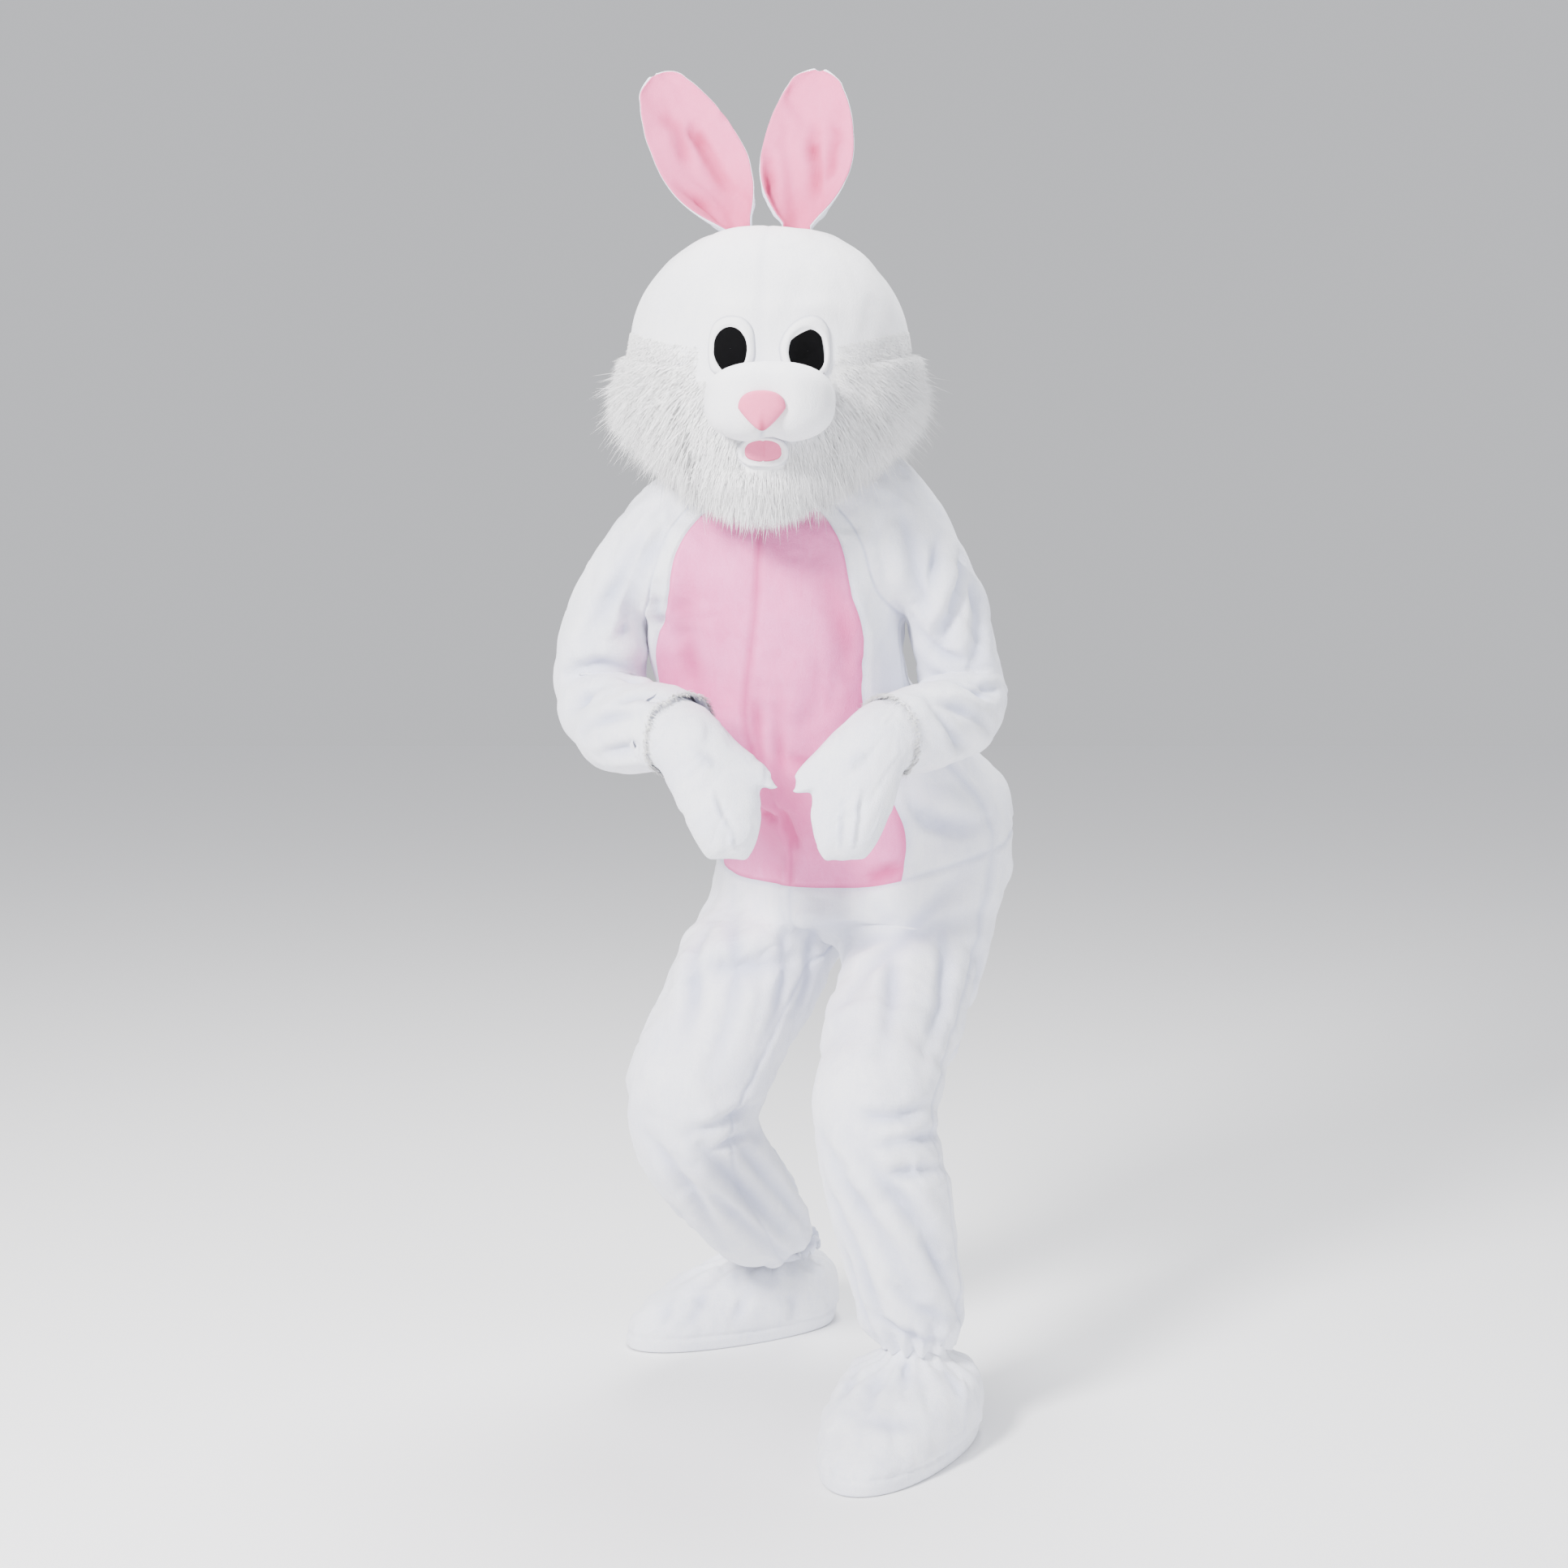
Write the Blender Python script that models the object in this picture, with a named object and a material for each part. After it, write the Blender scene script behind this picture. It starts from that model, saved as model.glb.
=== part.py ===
"""Rabbit mascot costume: a plush jumpsuit with a belly panel, a hollow head, mittens and boot covers.

The costume stands as it is worn, knees bent and paws hanging in front. It is hollow, and nothing is inside it.
Metres, +Z up. Every table gives heights above the floor. The last step moves the whole costume, so that the
origin is the point between the shoulders where the wearer carries it. The front looks along -Y, and the
costume's left is at +X.
"""

import math
from collections import namedtuple

import bpy
import numpy as np
from mathutils import Vector
from mathutils.bvhtree import BVHTree

# Cloth and seams
PLUSH = 0.0025
HEAD_WALL = 0.008
SEAM_GAP = 0.0003
PILE_GAP = 0.0008
ARM_CLEARANCE = 0.006
DEEP_CREASE = 0.85
LAID_ON = 0.0016
ON_PATCH = 0.0008
PATCH = 0.002
PATCH_SIDES = 16

# Where the wearer carries the costume, above the floor
CARRIED_AT = np.array([-0.015, 0.01, 1.2])

# Turn of the chest towards the costume's right, in degrees
CHEST_TURN = 12

# Body rings from the hip up to the armpit: height, centre, half width, depth to front and back, turn of
# the front towards -X, forward lean, and the angle from the centre front to the belly panel's edge
BodyRing = namedtuple("BodyRing", "z x y half_width front back turn lean panel_edge")
BODY_RINGS = (
    BodyRing(0.680, 0.095, 0.170, 0.232, 0.152, 0.160, 36, 14, 33),
    BodyRing(0.745, 0.101, 0.180, 0.236, 0.162, 0.168, 36, 18, 34),
    BodyRing(0.815, 0.092, 0.163, 0.224, 0.158, 0.150, 30, 22, 38),
    BodyRing(0.895, 0.030, 0.120, 0.166, 0.150, 0.138, 24, 24, 49),
    BodyRing(0.975, -0.012, 0.070, 0.170, 0.138, 0.124, 19, 22, 55),
    BodyRing(1.055, -0.012, 0.030, 0.163, 0.124, 0.116, 15, 18, 56),
)

# Centre front and centre back above the armpit, up to the neckline
ChestRow = namedtuple("ChestRow", "front_x front_y front_z back_x back_y back_z")
CHEST_ROWS = (
    ChestRow(-0.034, -0.098, 1.078, 0.006, 0.145, 1.110),
    ChestRow(-0.034, -0.100, 1.128, 0.000, 0.145, 1.160),
    ChestRow(-0.030, -0.093, 1.170, -0.008, 0.128, 1.208),
    ChestRow(-0.026, -0.082, 1.200, -0.015, 0.092, 1.246),
)

# Quads round a sleeve's cage
SLEEVE_COLUMNS = 8

# Sleeve cap, armpit to neckline: centre, reach outwards and front to back, how far the reach points up
# (degrees), and the half angle at which the cap opens towards the body
CapRow = namedtuple("CapRow", "x y z out depth rise opening")
CAP_ROWS = {
    "left": (
        CapRow(0.212, 0.015, 1.066, 0.047, 0.060, 8, 0),
        CapRow(0.164, 0.008, 1.118, 0.080, 0.084, 45, 52),
        CapRow(0.134, 0.005, 1.1612, 0.092, 0.097, 70, 76),
        CapRow(0.096, 0.002, 1.1845, 0.080, 0.092, 84, 92),
        CapRow(0.052, 0.000, 1.206, 0.062, 0.072, 90, 100),
    ),
    "right": (
        CapRow(-0.230, 0.020, 1.064, 0.047, 0.060, 8, 0),
        CapRow(-0.182, 0.014, 1.106, 0.069, 0.084, 45, 52),
        CapRow(-0.150, 0.010, 1.146, 0.076, 0.097, 70, 76),
        CapRow(-0.118, 0.006, 1.176, 0.071, 0.092, 84, 92),
        CapRow(-0.078, 0.004, 1.202, 0.062, 0.072, 90, 100),
    ),
}

# Sleeve tube from the armpit ring to the wrist: centre and radius
TubeRing = namedtuple("TubeRing", "x y z radius")
SLEEVE_RINGS = {
    "left": (
        TubeRing(0.222, 0.040, 1.012, 0.056),
        TubeRing(0.237, 0.060, 0.958, 0.059),
        TubeRing(0.228, 0.006, 0.924, 0.059),
        TubeRing(0.198, -0.048, 0.916, 0.059),
        TubeRing(0.166, -0.088, 0.917, 0.057),
        TubeRing(0.133, -0.119, 0.910, 0.0540),
    ),
    "right": (
        TubeRing(-0.239, 0.044, 1.010, 0.057),
        TubeRing(-0.243, 0.066, 0.957, 0.062),
        TubeRing(-0.230, 0.012, 0.919, 0.061),
        TubeRing(-0.196, -0.044, 0.914, 0.060),
        TubeRing(-0.163, -0.084, 0.919, 0.057),
        TubeRing(-0.134, -0.121, 0.911, 0.0541),
    ),
}

# Crotch seam, front to back, between the legs
CROTCH = ((0.044, 0.090, 0.628), (0.079, 0.145, 0.618), (0.134, 0.228, 0.646))

# Leg rings from the thigh to the ankle: centre, half width, half depth, turn, and the angle that the
# inner side takes up
LegRing = namedtuple("LegRing", "x y z half_width half_depth turn inner_angle")
LEG_RINGS = {
    "left": (
        LegRing(0.173, 0.070, 0.580, 0.086, 0.104, 27, 124),
        LegRing(0.153, 0.008, 0.534, 0.084, 0.095, 24, 134),
        LegRing(0.131, -0.056, 0.489, 0.083, 0.087, 21, 144),
        LegRing(0.111, -0.112, 0.440, 0.078, 0.083, 19, 144),
        LegRing(0.118, -0.122, 0.388, 0.079, 0.082, 19, 144),
        LegRing(0.140, -0.108, 0.305, 0.077, 0.080, 20, 144),
        LegRing(0.156, -0.094, 0.222, 0.070, 0.074, 21, 144),
        LegRing(0.168, -0.088, 0.162, 0.066, 0.068, 22, 144),
        LegRing(0.174, -0.088, 0.117, 0.0448, 0.0468, 22, 144),
    ),
    "right": (
        LegRing(-0.044, 0.144, 0.580, 0.096, 0.108, 43, 120),
        LegRing(-0.068, 0.122, 0.526, 0.094, 0.098, 46, 132),
        LegRing(-0.095, 0.102, 0.466, 0.093, 0.092, 49, 144),
        LegRing(-0.131, 0.096, 0.396, 0.093, 0.092, 50, 144),
        LegRing(-0.123, 0.130, 0.338, 0.089, 0.087, 51, 144),
        LegRing(-0.084, 0.192, 0.266, 0.079, 0.081, 52, 144),
        LegRing(-0.048, 0.268, 0.192, 0.074, 0.076, 53, 144),
        LegRing(-0.024, 0.340, 0.152, 0.063, 0.065, 54, 144),
        LegRing(-0.012, 0.392, 0.118, 0.0493, 0.0513, 54, 144),
    ),
}
# How upright the last ring stands, from 0 (across the leg) to 1 (level)
HEM_LEVEL = 1.0

# Elastic at each ankle: how many gathers, how deep, and how far up the leg they fade
GATHERS = 10
GATHER_DEPTH = 0.004
GATHER_FADE = 0.05

# Boot covers: where the ankle stands, and the turn of the toe towards -X
BOOT_ANKLE = {"left": (0.168, -0.090), "right": (-0.012, 0.398)}
BOOT_TURN = {"left": 21, "right": 54}
# Rows from the opening down to the sole: height, reach to heel and toe, half width
BootRow = namedtuple("BootRow", "z heel toe half_width")
BOOT_ROWS = (
    BootRow(0.128, 0.037, 0.038, 0.037),
    BootRow(0.102, 0.040, 0.042, 0.040),
    BootRow(0.092, 0.078, 0.106, 0.080),
    BootRow(0.068, 0.095, 0.192, 0.093),
    BootRow(0.028, 0.097, 0.258, 0.094),
    BootRow(0.000, 0.088, 0.252, 0.086),
)
BOOT_NECK = 2

# Mittens from the cuff to the fingertips: centre, half width, half thickness
HandRow = namedtuple("HandRow", "x y z half_width thickness")
HAND_ROWS = {
    "left": (
        HandRow(0.1545, -0.0989, 0.9146, 0.0470, 0.0470),
        HandRow(0.1310, -0.1210, 0.9096, 0.0475, 0.0470),
        HandRow(0.115, -0.138, 0.904, 0.048, 0.042),
        HandRow(0.096, -0.150, 0.881, 0.053, 0.036),
        HandRow(0.087, -0.160, 0.835, 0.050, 0.031),
        HandRow(0.077, -0.165, 0.798, 0.044, 0.029),
        HandRow(0.075, -0.166, 0.772, 0.034, 0.022),
        HandRow(0.077, -0.166, 0.755, 0.018, 0.000),
    ),
    "right": (
        HandRow(-0.1545, -0.0948, 0.9167, 0.0470, 0.0470),
        HandRow(-0.1325, -0.1235, 0.9105, 0.0475, 0.0470),
        HandRow(-0.119, -0.140, 0.903, 0.047, 0.042),
        HandRow(-0.099, -0.150, 0.877, 0.051, 0.036),
        HandRow(-0.080, -0.160, 0.835, 0.050, 0.031),
        HandRow(-0.071, -0.165, 0.800, 0.044, 0.029),
        HandRow(-0.070, -0.166, 0.773, 0.034, 0.022),
        HandRow(-0.071, -0.166, 0.755, 0.018, 0.000),
    ),
}
# Back of the hand, the quad row that the thumb grows from, and its tip
THUMB_ROW = 3
HAND_BACK = (0.0, -0.93, 0.36)
THUMB_TIP = {"left": (0.012, -0.160, 0.853), "right": (-0.011, -0.160, 0.857)}
# Loops from the thumb's root to its tip: share of the way, size beside the root, and its flatness
ThumbLoop = namedtuple("ThumbLoop", "share size flat")
THUMB_LOOPS = (ThumbLoop(0.45, 0.62, 0.75), ThumbLoop(0.85, 0.45, 0.60), ThumbLoop(1.00, 0.30, 0.00))

# Head rings from the neck rim up: height, half width, depth to front and back, and how much lower the
# front and the back lie than the sides
HEAD_CENTRE = (-0.018, -0.040)
HEAD_TURN = 4
HeadRing = namedtuple("HeadRing", "z half_width front back front_drop back_drop")
HEAD_RINGS = (
    HeadRing(1.290, 0.128, 0.152, 0.140, 0.096, 0.020),
    HeadRing(1.318, 0.157, 0.170, 0.160, 0.084, 0.014),
    HeadRing(1.347, 0.173, 0.180, 0.172, 0.056, 0.006),
    HeadRing(1.384, 0.178, 0.181, 0.178, 0.030, 0.0),
    HeadRing(1.437, 0.171, 0.170, 0.172, 0.006, 0.0),
    HeadRing(1.488, 0.143, 0.140, 0.146, 0.0, 0.0),
    HeadRing(1.530, 0.092, 0.089, 0.092, 0.0, 0.0),
)
HEAD_TOP = 1.553
FUR_LINE = 3

# Long pile: how far the cheeks and the chin stand out, how it droops, and how deep its locks are
CHEEK_PILE = 0.052
CHIN_PILE = 0.034
PILE_DROOP = 0.45
LOCKS = 12
LOCK_DEPTH = 0.12
# Angles from the face's middle at which the cheeks' pile starts and is full, and at which it ends behind
CHEEK_START = 28
CHEEK_FULL = 64
PILE_END = 122
PILE_END_SOFT = 25
# Heights over which it grows, below the crown and below the mouth
CROWN_SOFT = 0.02
CHIN_SOFT = 0.025
CHIN_SPREAD = 56
SHORT_PILE = 0.08

# Face: centre and half size on the front of the head, as seen from the front
MUZZLE_GAP = 0.0045
MUZZLE = {"x": -0.017, "z": 1.321, "half_width": 0.078, "half_height": 0.048, "front": -0.297}
# Loops of the muzzle's cushion from its back to its front: size beside the outline, share of the way out
MUZZLE_LOOPS = ((0.99, 0.22), (1.0, 0.45), (0.92, 0.68), (0.74, 0.86), (0.46, 0.97), (0.15, 1.0))
MUZZLE_SIDES = 20
CLEFT = {"depth": 0.16, "width": 0.22}
NOSE = {"x": -0.026, "z": 1.316, "half_width": 0.028, "half_height": 0.021, "reach": 0.010}
# Loops of the nose in the same way
NOSE_LOOPS = ((1.0, 0.0), (0.96, 0.5), (0.70, 0.85), (0.30, 1.0))
NOSE_SIDES = 14
MOUTH = {"x": -0.025, "z": 1.263, "half_width": 0.029, "half_height": 0.016}
TONGUE = {"x": -0.025, "z": 1.265, "half_width": 0.022, "half_height": 0.012}
EYES = {
    "left": {"x": 0.027, "z": 1.396, "half_width": 0.028, "half_height": 0.036},
    "right": {"x": -0.067, "z": 1.398, "half_width": 0.025, "half_height": 0.036},
}
EYE_MESH = {"half_width": 0.020, "half_height": 0.024, "drop": 0.006, "inwards": 0.003}

# Ears: root on the crown, tip, size beside the outline below, way the hollow looks, depth of the hollow
Ear = namedtuple("Ear", "root tip size look cup")
EARS = {
    "left": Ear((0.018, -0.020, 1.548), (0.044, 0.000, 1.741), 1.06, (-0.22, -0.97, 0.0), 0.030),
    "right": Ear((-0.058, -0.020, 1.548), (-0.164, 0.000, 1.735), 1.0, (0.14, -0.99, 0.0), 0.030),
}
# Outline of an ear: share of its length from the root, and half width
EarRow = namedtuple("EarRow", "share half_width")
EAR_ROWS = (
    EarRow(0.00, 0.017),
    EarRow(0.10, 0.034),
    EarRow(0.25, 0.050),
    EarRow(0.42, 0.055),
    EarRow(0.60, 0.052),
    EarRow(0.76, 0.044),
    EarRow(0.88, 0.034),
    EarRow(0.96, 0.022),
    EarRow(1.00, 0.010),
)
EAR_SHEET = 0.004
EAR_SEAT = 0.0005

# Largest folds: start, middle and end of the trough, its half width and its depth. The cloth beside a
# trough rises by this share of the depth.
FOLD_RISE = 0.6
Fold = namedtuple("Fold", "start middle end half_width depth")
SUIT_FOLDS = (
    Fold((-0.130, 0.020, 0.600), (-0.040, 0.020, 0.592), (0.060, 0.070, 0.612), 0.022, 0.012),
    Fold((0.230, 0.030, 0.840), (0.200, -0.010, 0.790), (0.270, 0.040, 0.770), 0.026, 0.012),
    Fold((0.060, -0.180, 0.400), (0.120, -0.200, 0.300), (0.170, -0.160, 0.180), 0.020, 0.009),
    Fold((0.100, -0.200, 0.410), (0.150, -0.190, 0.360), (0.200, -0.110, 0.330), 0.022, 0.010),
    Fold((-0.160, 0.020, 0.340), (-0.100, 0.060, 0.320), (-0.030, 0.120, 0.330), 0.020, 0.010),
    Fold((-0.150, 0.060, 0.300), (-0.060, 0.120, 0.230), (0.010, 0.210, 0.160), 0.018, 0.008),
    Fold((0.260, -0.020, 0.990), (0.220, -0.020, 0.950), (0.170, -0.080, 0.960), 0.018, 0.009),
    Fold((-0.280, -0.010, 0.950), (-0.230, -0.050, 0.945), (-0.180, -0.090, 0.930), 0.018, 0.009),
    Fold((0.200, 0.330, 0.700), (0.130, 0.350, 0.640), (0.050, 0.290, 0.640), 0.022, 0.010),
    Fold((0.150, 0.200, 0.900), (0.040, 0.250, 0.880), (-0.070, 0.200, 0.900), 0.024, 0.009),
)

COLOURS = {
    "white_plush": ((0.86, 0.87, 0.91), 0.9),
    "pink_plush": ((0.88, 0.52, 0.66), 0.9),
    "white_fur": ((0.90, 0.90, 0.91), 0.95),
    "ear_satin": ((0.87, 0.45, 0.62), 0.7),
    "white_felt": ((0.92, 0.92, 0.93), 0.85),
    "pink_felt": ((0.90, 0.45, 0.62), 0.85),
    "black_mesh": ((0.01, 0.01, 0.01), 0.8),
    "sole_cloth": ((0.80, 0.81, 0.83), 0.9),
}


def unit(vector):
    vector = np.asarray(vector, float)
    return vector / np.linalg.norm(vector)


def facing(turn):
    """Front and left directions of something turned by this many degrees towards -X."""
    c, s = math.cos(math.radians(turn)), math.sin(math.radians(turn))
    return np.array([-s, -c, 0.0]), np.array([c, -s, 0.0])


def tightening(columns):
    """How much wider a ring's cage is than the smooth ring that comes out of it."""
    return 6 / (4 + 2 * math.cos(2 * math.pi / columns))


def clear_scene():
    for obj in list(bpy.data.objects):
        bpy.data.objects.remove(obj)


class Cage:
    """Coarse quads of one sewn thing. Each face knows the panel that it is cut in."""

    def __init__(self):
        self.points = []
        self.faces = []
        self.panels = []
        self.names = []
        self.lookup = {}
        self.sharp = set()

    def vertex(self, point):
        key = tuple(np.round(np.asarray(point, float), 5))
        if key not in self.lookup:
            self.lookup[key] = len(self.points)
            self.points.append(key)
        return self.lookup[key]

    def face(self, corners, panel, flip=False):
        ring = []
        for corner in corners:
            if corner not in ring:
                ring.append(corner)
        if panel not in self.names:
            self.names.append(panel)
        self.faces.append(ring[::-1] if flip else ring)
        self.panels.append(self.names.index(panel))

    def grid(self, rows, panel_of, flip=False):
        """Quads between rows of points. panel_of(row, column) names a quad's panel, or None for no quad."""
        index = [[self.vertex(point) for point in row] for row in rows]
        for r in range(len(index) - 1):
            for c in range(len(index[0]) - 1):
                panel = panel_of(r, c)
                if panel:
                    corners = (index[r][c], index[r][c + 1], index[r + 1][c + 1], index[r + 1][c])
                    self.face(corners, panel, flip)

    def fill(self, ring, lift, panel_of, flip=False):
        """Closes a ring of 12 points with two rows of four quads. lift moves the three inner points."""
        ring = [np.asarray(point, float) for point in ring]
        middle = sum(ring) / len(ring)
        inner = [middle + (point - middle) * 0.5 + lift * 0.9 for point in (ring[9], ring[3])]
        rows = (
            (ring[10], ring[11], ring[0], ring[1], ring[2]),
            (ring[9], inner[0], middle + lift, inner[1], ring[3]),
            (ring[8], ring[7], ring[6], ring[5], ring[4]),
        )
        self.grid(rows, panel_of, flip)

    def smooth(self, levels):
        """The cage's smooth surface, as Blender's Subdivision Surface makes it."""
        mesh = bpy.data.meshes.new("cage")
        mesh.from_pydata(self.points, [], self.faces)
        tags = mesh.attributes.new("panel", "INT", "FACE")
        tags.data.foreach_set("value", self.panels)
        if self.sharp:
            creases = mesh.attributes.new("crease_edge", "FLOAT", "EDGE")
            keys = [tuple(sorted(edge.vertices)) for edge in mesh.edges]
            creases.data.foreach_set("value", [1.0 if key in self.sharp else 0.0 for key in keys])
        helper = bpy.data.objects.new("cage", mesh)
        bpy.context.scene.collection.objects.link(helper)
        modifier = helper.modifiers.new("Smooth", "SUBSURF")
        modifier.levels = modifier.render_levels = levels
        bpy.context.view_layer.update()
        made = helper.evaluated_get(bpy.context.evaluated_depsgraph_get()).data
        points = np.array([v.co[:] for v in made.vertices])
        faces = [tuple(p.vertices) for p in made.polygons]
        panels = np.zeros(len(faces), int)
        made.attributes["panel"].data.foreach_get("value", panels)
        bpy.data.objects.remove(helper)
        return Surface(points, faces, [self.names[i] for i in panels])


class Surface:
    """Smooth outer face of one sewn thing, with a shared normal at each point."""

    def __init__(self, points, faces, panels):
        self.points = points
        self.faces = faces
        self.panels = panels

    def normals(self, panel=None):
        """Normals at the points, of the whole surface or of one panel alone."""
        total = np.zeros_like(self.points)
        for face in self.faces if panel is None else self.panel_faces(panel):
            corners = self.points[list(face)]
            normal = np.cross(corners[2 % len(face)] - corners[0], corners[-1] - corners[1])
            for index in face:
                total[index] += normal
        return total / np.maximum(np.linalg.norm(total, axis=1), 1e-12)[:, None]

    def fold(self, folds):
        """Presses troughs into the cloth, with a soft rise on either side."""
        normals = self.normals()
        steps = np.linspace(0, 1, 15)[:, None]
        for fold in folds:
            start, middle, end = (np.array(p) for p in (fold.start, fold.middle, fold.end))
            via = 2 * middle - (start + end) / 2
            line = (1 - steps) ** 2 * start + 2 * steps * (1 - steps) * via + steps**2 * end
            away = np.linalg.norm(self.points[:, None, :] - line[None, :, :], axis=2)
            share = (away.min(axis=1) / fold.half_width) ** 2
            fade = np.sin(math.pi * np.clip(steps[away.argmin(axis=1), 0], 0.12, 0.88))
            height = -fold.depth * (1 - FOLD_RISE * share) * np.exp(-share) * fade
            self.points = self.points + normals * height[:, None]

    def press_away(self, panels, rings, clearance):
        """Moves these panels' points off a tube given by its rings."""
        used = sorted({i for face, panel in zip(self.faces, self.panels) if panel in panels for i in face})
        kept = {i for face, panel in zip(self.faces, self.panels) if panel not in panels for i in face}
        for i in used:
            if i in kept:
                continue
            for first, second in zip(rings, rings[1:]):
                start, end = (np.array([ring.x, ring.y, ring.z]) for ring in (first, second))
                along = end - start
                share = np.clip((self.points[i] - start) @ along / (along @ along), 0, 1)
                away = self.points[i] - start - along * share
                least = first.radius + (second.radius - first.radius) * share + clearance
                distance = np.linalg.norm(away)
                if distance < least:
                    self.points[i] = self.points[i] + away / distance * (least - distance)

    def tree(self):
        return BVHTree.FromPolygons([tuple(p) for p in self.points], self.faces)

    def panel_faces(self, name):
        return [face for face, panel in zip(self.faces, self.panels) if panel == name]

    def wall(self, name, thickness, material, outwards=None, gap=SEAM_GAP):
        """One panel as a closed wall: its outer points, and the same points moved in by its thickness.

        outwards gives each outer point a move of its own, such as a pile's length.
        """
        faces = [half for face in self.panel_faces(name) for half in halves(face, self.points)]
        used = sorted({index for face in faces for index in face})
        place = {index: i for i, index in enumerate(used)}
        faces = [[place[index] for index in face] for face in faces]
        normals = self.normals()[used]
        points = self.points[used].copy()
        edges = {}
        for face in faces:
            for a, b in zip(face, face[1:] + face[:1]):
                edges[(a, b)] = face
        rim = [edge for edge in edges if (edge[1], edge[0]) not in edges]
        inset = np.zeros_like(points)
        for a, b in rim:
            along = points[b] - points[a]
            middle = points[edges[(a, b)]].mean(axis=0) - (points[a] + points[b]) / 2
            across = middle - along * (middle @ along) / (along @ along)
            inset[[a, b]] += unit(across)
        length = np.linalg.norm(inset, axis=1)
        moved = length > 1e-9
        # Deep in a crease such as the armpit, the panel's own normals serve better than the shared ones.
        deep = moved & (np.sum(inset * normals, axis=1) > DEEP_CREASE * length)
        normals[deep] = self.normals(name)[used][deep]
        # A corner's two edges each need half the gap, so its point moves further along their bisector.
        share = np.clip(2 / np.maximum(length[moved], 1e-9), 1, 2.5)
        points[moved] += inset[moved] / length[moved][:, None] * (share * gap / 2)[:, None]
        outer = points if outwards is None else points + outwards(points, normals)
        inner = points - normals * thickness
        count = len(points)
        solid = [list(face) for face in faces]
        solid += [[index + count for index in reversed(face)] for face in faces]
        for a, b in rim:
            solid += rim_halves(a, b, count, self.points[used], self.points[used] - normals * thickness)
        return make_object(name, np.concatenate([outer, inner]), solid, material)


def material_named(name):
    material = bpy.data.materials.get(name)
    if material is None:
        material = bpy.data.materials.new(name)
        material.use_nodes = True
        colour, roughness = COLOURS[name]
        shader = material.node_tree.nodes["Principled BSDF"]
        shader.inputs["Base Color"].default_value = (*colour, 1)
        shader.inputs["Roughness"].default_value = roughness
    return material


def rim_halves(a, b, count, outer, inner):
    """The strip between a wall's two faces along one rim edge, split the same way from either side."""
    falls = np.linalg.norm(outer[a] - inner[b])
    rises = np.linalg.norm(outer[b] - inner[a])
    if falls < rises:
        return [[b, a, b + count], [a, a + count, b + count]]
    return [[b, a, a + count], [b, a + count, b + count]]


def halves(face, points):
    """A quad as two triangles, split along its shorter diagonal."""
    if len(face) < 4:
        return [face]
    a, b, c, d = face
    if np.linalg.norm(points[a] - points[c]) <= np.linalg.norm(points[b] - points[d]):
        return [(a, b, c), (a, c, d)]
    return [(a, b, d), (b, c, d)]


def make_object(name, points, faces, material):
    """A named solid, moved so that the origin is where the wearer carries the costume."""
    mesh = bpy.data.meshes.new(name)
    mesh.from_pydata([tuple(p) for p in points - CARRIED_AT], [], faces)
    mesh.validate()
    mesh.materials.append(material_named(material))
    mesh.shade_smooth()
    mesh.set_sharp_from_angle(angle=math.radians(50))
    obj = bpy.data.objects.new(name, mesh)
    bpy.context.scene.collection.objects.link(obj)
    return obj


def loft(name, loops, material):
    """A closed solid through loops of points, with a flat cap at each end."""
    loops = np.asarray(loops, float)
    count, size = loops.shape[:2]
    faces = []
    for k in range(count - 1):
        for i in range(size):
            j = (i + 1) % size
            faces.append([k * size + i, k * size + j, (k + 1) * size + j, (k + 1) * size + i])
    faces.append([i for i in reversed(range(size))])
    faces.append([(count - 1) * size + i for i in range(size)])
    return make_object(name, loops.reshape(-1, 3), faces, material)


# Suit


def body_ring(row):
    """Twelve points round the body: centre front, the belly panel's edge, the side, the back."""
    front, left = facing(row.turn)
    lean = math.radians(row.lean)
    front = front * math.cos(lean) - np.array([0, 0, math.sin(lean)])
    half = (0, row.panel_edge / 2, row.panel_edge, 90, 120, 150, 180)
    angles = half + tuple(-angle for angle in half[5:0:-1])
    centre = np.array([row.x, row.y, row.z])
    wide = tightening(12)
    points = []
    for angle in np.radians(angles):
        depth = row.front if math.cos(angle) > 0 else row.back
        points.append(centre + wide * (left * row.half_width * math.sin(angle) + front * depth * math.cos(angle)))
    return points


def cap_arcs(side):
    """Rows over the shoulder, armpit first. Each runs from the front seam over the top to the back seam."""
    sign = 1 if side == "left" else -1
    front, left = facing(CHEST_TURN)
    rows = []
    for row in CAP_ROWS[side]:
        rise = math.radians(row.rise)
        out = sign * left * math.cos(rise) + np.array([0, 0, math.sin(rise)])
        opening = math.radians(row.opening)
        angles = np.linspace(opening, 2 * math.pi - opening, SLEEVE_COLUMNS + 1)
        wide = tightening(SLEEVE_COLUMNS)
        centre = np.array([row.x, row.y, row.z])
        arc = [centre + wide * (front * row.depth * math.sin(a) - out * row.out * math.cos(a)) for a in angles]
        rows.append(arc)
    rows[0][-1] = rows[0][0]
    return rows


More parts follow.
